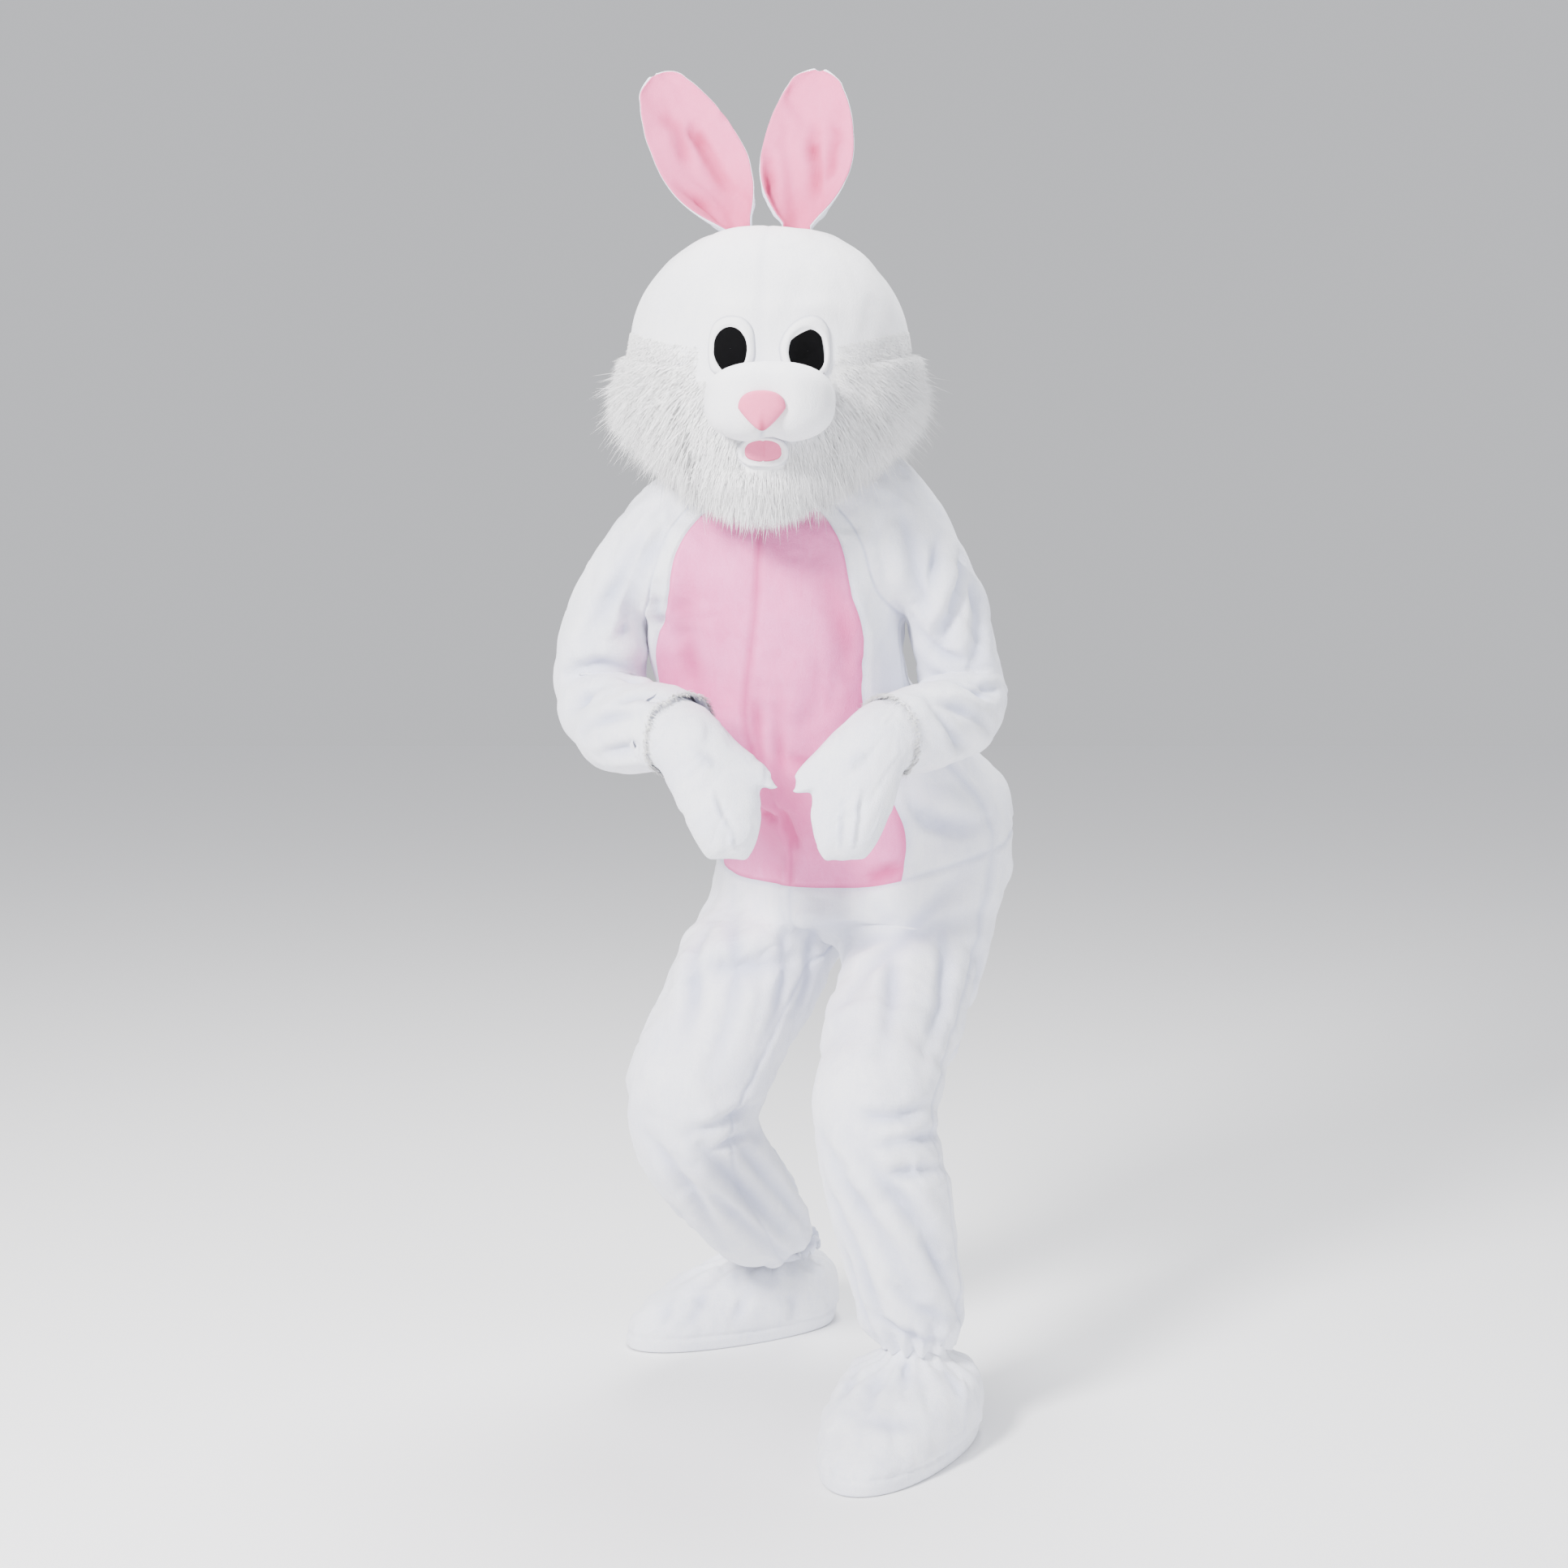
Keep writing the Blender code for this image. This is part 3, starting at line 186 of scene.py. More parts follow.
class Surface:
    # Outer face of one sewn thing: points, quads, and the panel of each quad
    def __init__(self, points, faces, panels, names):
        self.points, self.faces, self.panels, self.names = points, faces, panels, names
        self.shade = np.zeros(len(points))

    def normals(self):
        # Sum of the crossed diagonals of the quads round each point
        corners = self.points[self.faces]
        across = np.cross(corners[:, 2] - corners[:, 0], corners[:, 3] - corners[:, 1])
        total = np.zeros_like(self.points)
        np.add.at(total, self.faces.ravel(), np.repeat(across, 4, axis=0))
        return unit(total)

    def push(self, height):
        # Moves each point along its normal
        self.points = self.points + self.normals() * height[:, None]

    def tree(self):
        return BVHTree.FromPolygons(self.points.tolist(), self.faces.tolist())

    def edges(self):
        # Every side of every quad as (a, b), sorted pairs last, with the quad it belongs to
        ends = np.stack([self.faces, np.roll(self.faces, -1, axis=1)], axis=2).reshape(-1, 2)
        keys = np.sort(ends, axis=1) @ np.array([len(self.points), 1])
        return ends, keys, np.repeat(np.arange(len(self.faces)), 4)

    def seamPoints(self):
        # Points on an edge between two panels
        ends, keys, owner = self.edges()
        order = np.argsort(keys, kind="stable")
        twin = keys[order][:-1] == keys[order][1:]
        one, two = order[:-1][twin], order[1:][twin]
        apart = self.panels[owner[one]] != self.panels[owner[two]]
        return np.unique(ends[one[apart]])

    def soften(self, place, radius, rounds):
        # Moves points near the place to the mean of their neighbours, by exp(-(r/radius)^2), a few times
        ends, _, _ = self.edges()
        count = np.bincount(ends[:, 0], minlength=len(self.points))[:, None]
        weight = bell(np.linalg.norm(self.points - np.array(place), axis=1) / radius)[:, None]
        for _ in range(rounds):
            total = np.zeros_like(self.points)
            np.add.at(total, ends[:, 0], self.points[ends[:, 1]])
            self.points = self.points + (total / np.maximum(count, 1) - self.points) * weight * (count > 2)

    def darken(self, spots):
        # Painted shadow on the nap: amount * exp(-(r/radius)^2) round each place
        for place, radius, amount in spots:
            away = np.linalg.norm(self.points - np.array(place), axis=1)
            self.shade = np.maximum(self.shade, amount * bell(away / radius))

    def groove(self, depth, spread=0.5, grooveShade=0.5):
        # A sewn seam sinks by depth, and the points beside it by a share of that; shade is painted along it
        weight = np.zeros(len(self.points))
        weight[self.seamPoints()] = 1
        ends, _, _ = self.edges()
        beside = weight.copy()
        np.maximum.at(beside, ends[:, 0], weight[ends[:, 1]] * spread)
        np.maximum.at(beside, ends[:, 1], weight[ends[:, 0]] * spread)
        self.push(-depth * beside)
        self.shade = np.maximum(self.shade, grooveShade * beside)

    def crease(self, folds, rise=0.55, depthScale=1.0):
        # Along each curve, laid on the cloth: -d exp(-(r/w)^2), and beside it a soft rise of a share of d,
        # exp(-(q/1.6w)^2), with r and q the distances from the trough's line and the rise's line. Where
        # folds meet, the deepest trough and the highest rise are kept.
        tree = self.tree()
        normals = self.normals()
        up, down = np.zeros((2, len(self.points)))
        for number, (start, middle, end, width, depth) in enumerate(folds):
            width, depth = width / 1000, depth / 1000 * depthScale
            line = curve(start, middle, end, width * 0.4)
            seats = [tree.find_nearest(Vector(p)) for p in line]
            line = np.array([seat[0] for seat in seats])
            looks = np.array([seat[1] for seat in seats])
            share = np.linspace(0, 1, len(line))
            ends = np.sin(math.pi * np.clip(share, 0.06, 0.94)) ** 0.7
            wave = np.sin(2 * math.pi * (1.3 * share + 0.37 * number))
            uneven = 1 + 0.28 * wave * np.sin(3.1 * share + number)
            side = unit(np.cross(looks, np.gradient(line, axis=0))) * (1 if number % 2 else -1)
            ridge = line + side * (width * 1.9)
            reach = np.ptp(line, axis=0) / 2 + 4.5 * width
            near = np.flatnonzero(np.all(np.abs(self.points - line.mean(axis=0)) < reach, axis=1))
            away = np.linalg.norm(self.points[near][:, None] - line[None], axis=2)
            k = away.argmin(axis=1)
            same = np.sum(normals[near] * looks[k], axis=1) > -0.1
            trough = bell(away.min(axis=1) / width) * (ends * uneven)[k]
            over = np.linalg.norm(self.points[near][:, None] - ridge[None], axis=2)
            lift = bell(over.min(axis=1) / (1.6 * width)) * ends[over.argmin(axis=1)]
            down[near] = np.maximum(down[near], np.where(same, depth * trough, 0))
            # Painted shade down in the trough, stronger for deeper folds
            troughShade = min(1.0, 0.25 + depth / 0.010) * trough
            self.shade[near] = np.maximum(self.shade[near], np.where(same, troughShade, 0))
            up[near] = np.maximum(up[near], np.where(same, depth * rise * lift, 0))
        self.points = self.points + normals * (up - down)[:, None]

    def rim(self, panel):
        # Both ends of every open edge of a panel
        ends, keys, owner = self.edges()
        _, back, count = np.unique(keys, return_inverse=True, return_counts=True)
        isOpen = (count[back] == 1) & (self.panels[owner] == self.names.index(panel))
        return self.points[ends[isOpen, 0]], self.points[ends[isOpen, 1]]

    def turnIn(self, reach, thickness=0.003):
        # Each open edge runs on round a small turn and back inside, as a hem does
        ends, keys, owner = self.edges()
        _, back, count = np.unique(keys, return_inverse=True, return_counts=True)
        rim = count[back] == 1
        ends, owner = ends[rim], owner[rim]
        along = self.points[ends[:, 1]] - self.points[ends[:, 0]]
        inward = self.points[self.faces[owner]].mean(axis=1) - self.points[ends].mean(axis=1)
        inward = unit(inward - unit(along) * np.sum(inward * unit(along), axis=1, keepdims=True))
        total = np.zeros_like(self.points)
        np.add.at(total, ends.ravel(), np.repeat(inward, 2, axis=0))
        rimPoints = np.unique(ends)
        inward, normals = unit(total[rimPoints]), self.normals()[rimPoints]
        slot = np.zeros(len(self.points), int)
        slot[rimPoints] = np.arange(len(rimPoints))
        a, b = ends[:, 0], ends[:, 1]
        for out, sink in ((-0.5, 0.25), (-0.3, 0.8), (1.5, 1.0), (reach / thickness, 1.15)):
            base = len(self.points)
            fresh = self.points[rimPoints] + inward * (out * thickness) - normals * (sink * thickness)
            self.points = np.concatenate([self.points, fresh])
            nextA, nextB = base + slot[ends[:, 0]], base + slot[ends[:, 1]]
            self.faces = np.concatenate([self.faces, np.stack([b, a, nextA, nextB], axis=1).astype(np.int32)])
            self.panels = np.concatenate([self.panels, self.panels[owner]])
            # Faint painted shade on the hem that turns inside
            self.shade = np.concatenate([self.shade, np.full(len(fresh), 0.15)])
            a, b = nextA, nextB

    def piece(self, panel, name, material, normals=None):
        # One panel as an object, with its points' painted shade. Shared normals keep the cloth smooth across its
        # seams.
        faces = self.faces[self.panels == self.names.index(panel)]
        used, index = np.unique(faces, return_inverse=True)
        shared = None if normals is None else normals[used]
        obj = newMesh(name, self.points[used], index.reshape(-1, 4), material, shared)
        return shadeMesh(obj, self.shade[used])

    def scatter(self, panelNames, count, rng):
        # Points picked by area on these panels, with their smooth normals
        chosen = np.flatnonzero(np.isin(self.panels, [self.names.index(n) for n in panelNames]))
        corners = self.points[self.faces[chosen]]
        size = np.linalg.norm(np.cross(corners[:, 2] - corners[:, 0], corners[:, 3] - corners[:, 1]), axis=1)
        pick = rng.choice(len(chosen), count, p=size / size.sum())
        u, v = rng.random((2, count))
        weights = np.stack([(1 - u) * (1 - v), u * (1 - v), u * v, (1 - u) * v], axis=1)[:, :, None]
        index = self.faces[chosen[pick]]
        return (self.points[index] * weights).sum(axis=1), unit((self.normals()[index] * weights).sum(axis=1))


class Wire:
    # A shader value. Sums and products of wires and numbers add their own Math nodes.
    def __init__(self, shop, socket):
        self.shop, self.socket = shop, socket

    def math(self, operation, *values):
        return self.shop.node("ShaderNodeMath", {"operation": operation}, *values).out()

    def __add__(self, other):
        return self.math("ADD", self, other)

    def __sub__(self, other):
        return self.math("SUBTRACT", self, other)

    def __rsub__(self, other):
        return self.math("SUBTRACT", other, self)

    def __mul__(self, other):
        return self.math("MULTIPLY", self, other)

    __radd__ = __add__
    __rmul__ = __mul__

    def clamp(self):
        return self.shop.node("ShaderNodeClamp", {}, self).out()


class Made:
    # A node that was just made, read by its outputs
    def __init__(self, shop, node):
        self.shop, self.node = shop, node

    def out(self, key=0):
        return Wire(self.shop, self.node.outputs[key])


class Finish:
    # A Principled material whose other nodes come from one method
    def __init__(self, name, colour, roughness, sheen=0.0, **constants):
        self.material = bpy.data.materials.new(name)
        self.material.use_nodes = True
        self.tree = self.material.node_tree
        self.shader = self.tree.nodes["Principled BSDF"]
        self.shader.inputs["Base Color"].default_value = (*colour, 1)
        self.shader.inputs["Roughness"].default_value = roughness
        self.shader.inputs["Sheen Weight"].default_value = sheen
        self.shader.inputs["Sheen Roughness"].default_value = 0.6
        for key, value in constants.items():
            self.shader.inputs[key].default_value = value
        self.place = self.node("ShaderNodeTexCoord", {}).out("Object")

    def node(self, kind, settings, *values, **named):
        node = self.tree.nodes.new(kind)
        for key, value in settings.items():
            setattr(node, key, value)
        for key, value in [*enumerate(values), *named.items()]:
            target = node.inputs[key.replace("_", " ") if isinstance(key, str) else key]
            if isinstance(value, Wire):
                self.tree.links.new(value.socket, target)
            else:
                target.default_value = value
        return Made(self, node)

    def noise(self, scale, detail=2.0, roughness=0.5, stretch=(1, 1, 1), distortion=0.0):
        # Noise on Object coordinates, scale in cells a metre
        place = self.place
        if stretch != (1, 1, 1):
            place = self.node("ShaderNodeMapping", {}, Vector=place, Scale=stretch).out()
        made = self.node("ShaderNodeTexNoise", {}, Vector=place, Scale=scale, Detail=detail,
                         Roughness=roughness, Distortion=distortion)
        return made.out(0)

    def blend(self, share, one, two):
        # one where share is 0, two where it is 1
        made = self.node("ShaderNodeMix", {"data_type": "RGBA"})
        self.tree.links.new(share.socket, made.node.inputs[0])
        for place, colour in ((6, one), (7, two)):
            if isinstance(colour, Wire):
                self.tree.links.new(colour.socket, made.node.inputs[place])
            else:
                made.node.inputs[place].default_value = (*colour, 1)
        return made.out(2)

    def paint(self, colour):
        self.tree.links.new(colour.socket, self.shader.inputs["Base Color"])

    def roughen(self, value):
        self.tree.links.new(value.socket, self.shader.inputs["Roughness"])

    def bump(self, height, distance):
        made = self.node("ShaderNodeBump", {}, Height=height, Distance=distance)
        self.tree.links.new(made.out().socket, self.shader.inputs["Normal"])


def plush(name, colour, shade, paintedShade, nap=0.0012, sheen=0.3):
    # Short pile: fine tufts, strokes where it was brushed one way, a faint cloudiness, and painted shade
    # down in the folds, along the seams and in shadowed places
    finish = Finish(name, colour, 0.92, sheen)
    tufts = finish.noise(520, 3, 0.62)
    strokes = finish.noise(90, 3, 0.6, (1, 1, 0.35), 0.8)
    clouds = finish.noise(13, 2, 0.5)
    mask = (tufts - 0.5) * 1.1 + (strokes - 0.5) * 1.1 + (clouds - 0.5) * 1.3 + 0.42
    top = finish.blend(mask.clamp(), colour, shade)
    # Painted shade from each point's shade attribute, broken up by the cloudiness
    folded = finish.node("ShaderNodeAttribute", {"attribute_name": "shade"}).out("Fac") * (clouds * 0.6 + 0.6)
    finish.paint(finish.blend(folded.clamp(), top, paintedShade))
    finish.roughen(strokes * 0.16 + 0.82)
    finish.bump(tufts * 0.7 + strokes * 0.5, nap)
    return finish.material


def felt(name, colour, shade, paintedShade, sheen=0.15):
    # Pressed fibres: fine, even and matt, with faint flecks, and painted shade down in the folds and towards the
    # rims
    finish = Finish(name, colour, 0.88, sheen)
    fibres = finish.noise(900, 3, 0.6)
    flecks = finish.noise(160, 2, 0.5)
    top = finish.blend((fibres * 0.6 + flecks * 0.6 - 0.2).clamp(), colour, shade)
    # Painted shade from each point's shade attribute
    folded = finish.node("ShaderNodeAttribute", {"attribute_name": "shade"}).out("Fac")
    finish.paint(finish.blend(folded.clamp(), top, paintedShade))
    finish.bump(fibres + flecks * 0.4, 0.0004)
    return finish.material


def woven(name, colour, shade, pitch, roughness=0.7, sheen=0.1, **constants):
    # Two crossed sets of threads, sin(x) and sin(z) waves a pitch apart, broken up by noise
    finish = Finish(name, colour, roughness, sheen, **constants)
    waves = []
    for turn in ((0, 0, 0), (0, math.pi / 2, 0)):
        place = finish.node("ShaderNodeMapping", {}, Vector=finish.place, Rotation=turn).out()
        wave = finish.node("ShaderNodeTexWave", {"bands_direction": "X"}, Vector=place, Scale=0.5 / pitch,
                           Distortion=0.6)
        waves.append(wave.out("Fac"))
    weave = waves[0] * waves[1]
    soft = finish.noise(30, 3, 0.6)
    finish.paint(finish.blend((soft * 0.9 - weave * 0.3).clamp(), colour, shade))
    finish.bump(weave, pitch * 0.35)
    return finish.material


def furred(name, colour, shade):
    # Hair: soft, a little darker from lock to lock
    finish = Finish(name, colour, 0.7, 0.5)
    locks = finish.noise(45, 2, 0.5)
    finish.paint(finish.blend((locks * 1.4 - 0.35).clamp(), colour, shade))
    return finish.material


# The third colour of each plush and felt is the painted shade in creases, along seams, at rims and in shadowed
# places
whitePlush = plush("whitePlush", (0.92, 0.93, 0.98), (0.76, 0.78, 0.90), (0.56, 0.59, 0.75))
headPlush = plush("headPlush", (0.96, 0.96, 0.98), (0.85, 0.86, 0.92), (0.56, 0.57, 0.68), 0.001)
pinkPlush = plush("pinkPlush", (0.93, 0.25, 0.55), (0.86, 0.17, 0.44), (0.58, 0.07, 0.24), 0.001, 0.05)
earPink = felt("earPink", (0.90, 0.21, 0.42), (0.82, 0.14, 0.33), (0.45, 0.03, 0.12), 0.04)
facePink = felt("facePink", (0.90, 0.20, 0.37), (0.82, 0.14, 0.29), (0.42, 0.04, 0.11), 0.04)
whiteFelt = felt("whiteFelt", (0.95, 0.95, 0.96), (0.88, 0.88, 0.92), (0.45, 0.46, 0.56))
whiteFur = furred("whiteFur", (0.99, 0.99, 0.99), (0.95, 0.95, 0.97))
soleCloth = woven("soleCloth", (0.80, 0.81, 0.83), (0.64, 0.65, 0.68), 0.0014)
eyeMesh = woven("eyeMesh", (0.002, 0.002, 0.002), (0.006, 0.006, 0.007), 0.0012, 1.0, 0.0,
                **{"Specular IOR Level": 0.05})
print("finishes made")

# Suit: rings and rows as in the source of the solids
suit = {
    "levels": 4,
    "hem": 0.024,
    "foldDepth": 1.45,
    # The cloth is eased where the folds of hip and thigh meet: place, radius, rounds
    "hip": ((0.166, 0.020, 0.650), 0.035, 60),
    # Under the arms, where slack cloth meets the body: places, and how far and how wide it bulges
    "slack": ((0.159, 0.020, 1.011), (-0.176, 0.020, 1.020)),
    "bulge": (0.005, 0.05),
    # Painted shadows on the nap: place, radius, amount
    "shadows": (
        ((0.002, 0.000, 0.835), 0.060, 0.85), ((0.078, 0.040, 0.640), 0.050, 0.70),
        ((-0.026, -0.09, 1.225), 0.055, 0.55), ((-0.028, 0.020, 0.755), 0.045, 0.75),
        ((0.020, 0.020, 0.785), 0.050, 0.60), ((0.165, -0.010, 0.985), 0.045, 0.50),
        ((-0.170, 0.000, 0.985), 0.045, 0.50), ((0.080, -0.030, 0.800), 0.060, 0.30),
    ),
    "seamDepth": 0.0022,
    "softWave": (0.17, 0.0030),
    "smallWave": (0.065, 0.0011),
    "armClearance": 0.006,
    "gathers": 13,
    "gatherDepth": 0.0052,
    "gatherFade": 0.062,
}
# z, x, y, half width, front, back, turn, lean, angle to the belly panel's edge
bodyRings = (
    (0.680, 0.095, 0.170, 0.232, 0.152, 0.160, 36, 14, 33),
    (0.745, 0.101, 0.180, 0.236, 0.162, 0.168, 36, 18, 34),
    (0.815, 0.092, 0.163, 0.224, 0.158, 0.150, 30, 22, 38),
    (0.895, 0.030, 0.120, 0.166, 0.150, 0.138, 24, 24, 49),
    (0.975, -0.012, 0.070, 0.170, 0.138, 0.124, 19, 22, 55),
    (1.055, -0.012, 0.030, 0.163, 0.124, 0.116, 15, 18, 56),
)
# Centre front and centre back, armpit to neckline
chestRows = (
    ((-0.034, -0.098, 1.078), (0.006, 0.145, 1.110)),
    ((-0.034, -0.100, 1.128), (0.000, 0.145, 1.160)),
    ((-0.030, -0.093, 1.170), (-0.008, 0.128, 1.208)),
    ((-0.026, -0.082, 1.200), (-0.015, 0.092, 1.246)),
)
# x, y, z, reach outwards, depth, rise of the reach, half opening
capRows = {
    "left": (
        (0.212, 0.015, 1.066, 0.047, 0.060, 8, 0),
        (0.164, 0.008, 1.118, 0.080, 0.084, 45, 52),
        (0.134, 0.005, 1.1612, 0.092, 0.097, 70, 76),
        (0.096, 0.002, 1.1845, 0.080, 0.092, 84, 92),
        (0.052, 0.000, 1.206, 0.062, 0.072, 90, 100),
    ),
    "right": (
        (-0.230, 0.020, 1.064, 0.047, 0.060, 8, 0),
        (-0.182, 0.014, 1.106, 0.069, 0.084, 45, 52),
        (-0.150, 0.010, 1.146, 0.076, 0.097, 70, 76),
        (-0.118, 0.006, 1.176, 0.071, 0.092, 84, 92),
        (-0.078, 0.004, 1.202, 0.062, 0.072, 90, 100),
    ),
}
# x, y, z, radius, armpit to wrist
sleeveRings = {
    "left": (
        (0.222, 0.040, 1.012, 0.056),
        (0.237, 0.060, 0.958, 0.059),
        (0.228, 0.006, 0.924, 0.059),
        (0.198, -0.048, 0.916, 0.059),
        (0.166, -0.088, 0.917, 0.057),
        (0.133, -0.119, 0.910, 0.0540),
    ),
    "right": (
        (-0.239, 0.044, 1.010, 0.057),
        (-0.243, 0.066, 0.957, 0.062),
        (-0.230, 0.012, 0.919, 0.061),
        (-0.196, -0.044, 0.914, 0.060),
        (-0.163, -0.084, 0.919, 0.057),
        (-0.134, -0.121, 0.911, 0.0541),
    ),
}
crotch = ((0.044, 0.090, 0.628), (0.079, 0.145, 0.618), (0.134, 0.228, 0.646))
# x, y, z, half width, half depth, turn, angle of the inner side, thigh to ankle
legRings = {
    "left": (
        (0.173, 0.070, 0.580, 0.086, 0.104, 27, 124),
        (0.153, 0.008, 0.534, 0.084, 0.095, 24, 134),
        (0.131, -0.056, 0.489, 0.083, 0.087, 21, 144),
        (0.111, -0.112, 0.440, 0.078, 0.083, 19, 144),
        (0.118, -0.122, 0.388, 0.079, 0.082, 19, 144),
        (0.140, -0.108, 0.305, 0.077, 0.080, 20, 144),
        (0.156, -0.094, 0.222, 0.070, 0.074, 21, 144),
        (0.168, -0.088, 0.162, 0.066, 0.068, 22, 144),
        (0.174, -0.088, 0.117, 0.0448, 0.0468, 22, 144),
    ),
    "right": (
        (-0.044, 0.144, 0.580, 0.096, 0.108, 43, 120),
        (-0.068, 0.122, 0.526, 0.094, 0.098, 46, 132),
        (-0.095, 0.102, 0.466, 0.093, 0.092, 49, 144),
        (-0.131, 0.096, 0.396, 0.093, 0.092, 50, 144),
        (-0.123, 0.130, 0.338, 0.089, 0.087, 51, 144),
        (-0.084, 0.192, 0.266, 0.079, 0.081, 52, 144),
        (-0.048, 0.268, 0.192, 0.074, 0.076, 53, 144),
        (-0.024, 0.340, 0.152, 0.063, 0.065, 54, 144),
        (-0.012, 0.392, 0.118, 0.0493, 0.0513, 54, 144),
    ),
}
# Start, middle, end, half width and depth in mm
frontFolds = (
    ((-0.035, -0.068, 0.964), (-0.031, -0.036, 0.888), (-0.019, 0.018, 0.798), 10, 5),
    ((-0.008, -0.074, 0.964), (-0.004, -0.044, 0.889), (0, 0, 0.811), 9, 4),
    ((-0.012, 0.004, 0.81), (0.006, 0.015, 0.782), (0.02, 0.033, 0.732), 9, 6),
    ((-0.061, 0.005, 0.81), (-0.028, 0.01, 0.78), (-0.001, 0.007, 0.799), 9, 5),
    ((0.034, 0, 0.80), (0.074, 0, 0.79), (0.119, 0.01, 0.80), 12, 6),
    ((0.045, -0.096, 1.119), (0.076, -0.076, 1.037), (0.087, -0.05, 0.952), 20, 4),
    ((-0.118, -0.096, 1.119), (-0.125, -0.056, 1.035), (-0.11, -0.026, 0.95), 20, 4),
    ((0.158, 0.005, 0.838), (0.195, 0.013, 0.786), (0.272, 0.051, 0.783), 14, 10),
    ((0.102, 0.002, 0.709), (0.131, 0, 0.717), (0.163, 0.001, 0.731), 12, 6),
    ((-0.130, 0.020, 0.600), (-0.040, 0.020, 0.592), (0.060, 0.070, 0.612), 16, 10),
    ((0.079, 0.041, 0.617), (0.152, -0.01, 0.64), (0.256, 0.032, 0.656), 14, 8),
    ((0.236, 0.023, 0.72), (0.163, -0.007, 0.641), (0.081, -0.068, 0.561), 14, 8),
    ((-0.115, 0.10, 0.66), (-0.115, 0.06, 0.57), (-0.135, 0.03, 0.48), 12, 5),
    ((-0.072, 0.121, 0.664), (-0.065, 0.034, 0.569), (-0.101, 0.012, 0.443), 12, 6),
    ((-0.006, 0.059, 0.674), (-0.001, 0.056, 0.576), (-0.037, 0.034, 0.46), 11, 5),
    ((0.036, 0.031, 0.667), (0.037, 0.091, 0.592), (0.01, 0.069, 0.519), 10, 5),
    ((0.121, 0.001, 0.672), (0.14, -0.061, 0.597), (0.121, -0.151, 0.51), 12, 6),
    ((0.195, 0.009, 0.681), (0.21, -0.027, 0.591), (0.179, -0.124, 0.505), 12, 6),
    ((0.0, -0.02, 0.90), (0.05, -0.03, 0.86), (0.12, 0.0, 0.88), 12, 5),
    ((-0.09, 0.0, 0.88), (-0.05, -0.01, 0.86), (-0.02, -0.01, 0.87), 10, 4),
)
legFolds = (
    ((-0.031, 0.06, 0.39), (-0.07, 0.02, 0.385), (-0.12, 0.03, 0.375), 9, 7),
    ((-0.02, 0.10, 0.345), (-0.066, 0.045, 0.353), (-0.115, 0.038, 0.333), 9, 6),
    ((0.183, -0.143, 0.446), (0.136, -0.186, 0.44), (0.085, -0.179, 0.444), 9, 7),
    ((0.21, -0.10, 0.355), (0.155, -0.19, 0.37), (0.095, -0.18, 0.362), 9, 6),
    ((0.20, -0.10, 0.40), (0.155, -0.19, 0.41), (0.10, -0.18, 0.40), 8, 5),
    ((0.047, -0.147, 0.403), (0.106, -0.182, 0.31), (0.19, -0.146, 0.156), 13, 8),
    ((0.053, -0.145, 0.352), (0.091, -0.155, 0.26), (0.139, -0.137, 0.143), 11, 6),
    ((0.075, -0.179, 0.413), (0.146, -0.186, 0.332), (0.208, -0.142, 0.236), 12, 7),
    ((0.076, -0.143, 0.278), (0.097, -0.128, 0.2), (0.123, -0.123, 0.138), 9, 5),
    ((0.157, -0.184, 0.31), (0.195, -0.155, 0.239), (0.226, -0.106, 0.163), 9, 6),
    ((0.137, -0.166, 0.222), (0.169, -0.158, 0.188), (0.219, -0.117, 0.158), 9, 6),
    ((0.102, -0.129, 0.189), (0.149, -0.149, 0.153), (0.201, -0.13, 0.136), 9, 6),
    ((-0.125, 0.023, 0.364), (-0.061, 0.091, 0.28), (0.025, 0.285, 0.135), 12, 8),
    ((-0.105, 0.067, 0.287), (-0.051, 0.153, 0.207), (0.016, 0.301, 0.112), 10, 6),
    ((-0.18, 0.052, 0.355), (-0.127, 0.069, 0.286), (-0.079, 0.198, 0.16), 11, 7),
    ((-0.071, 0.038, 0.361), (-0.022, 0.14, 0.279), (0.03, 0.276, 0.176), 9, 6),
    ((-0.14, 0.15, 0.24), (-0.09, 0.24, 0.19), (-0.05, 0.31, 0.14), 9, 5),
)
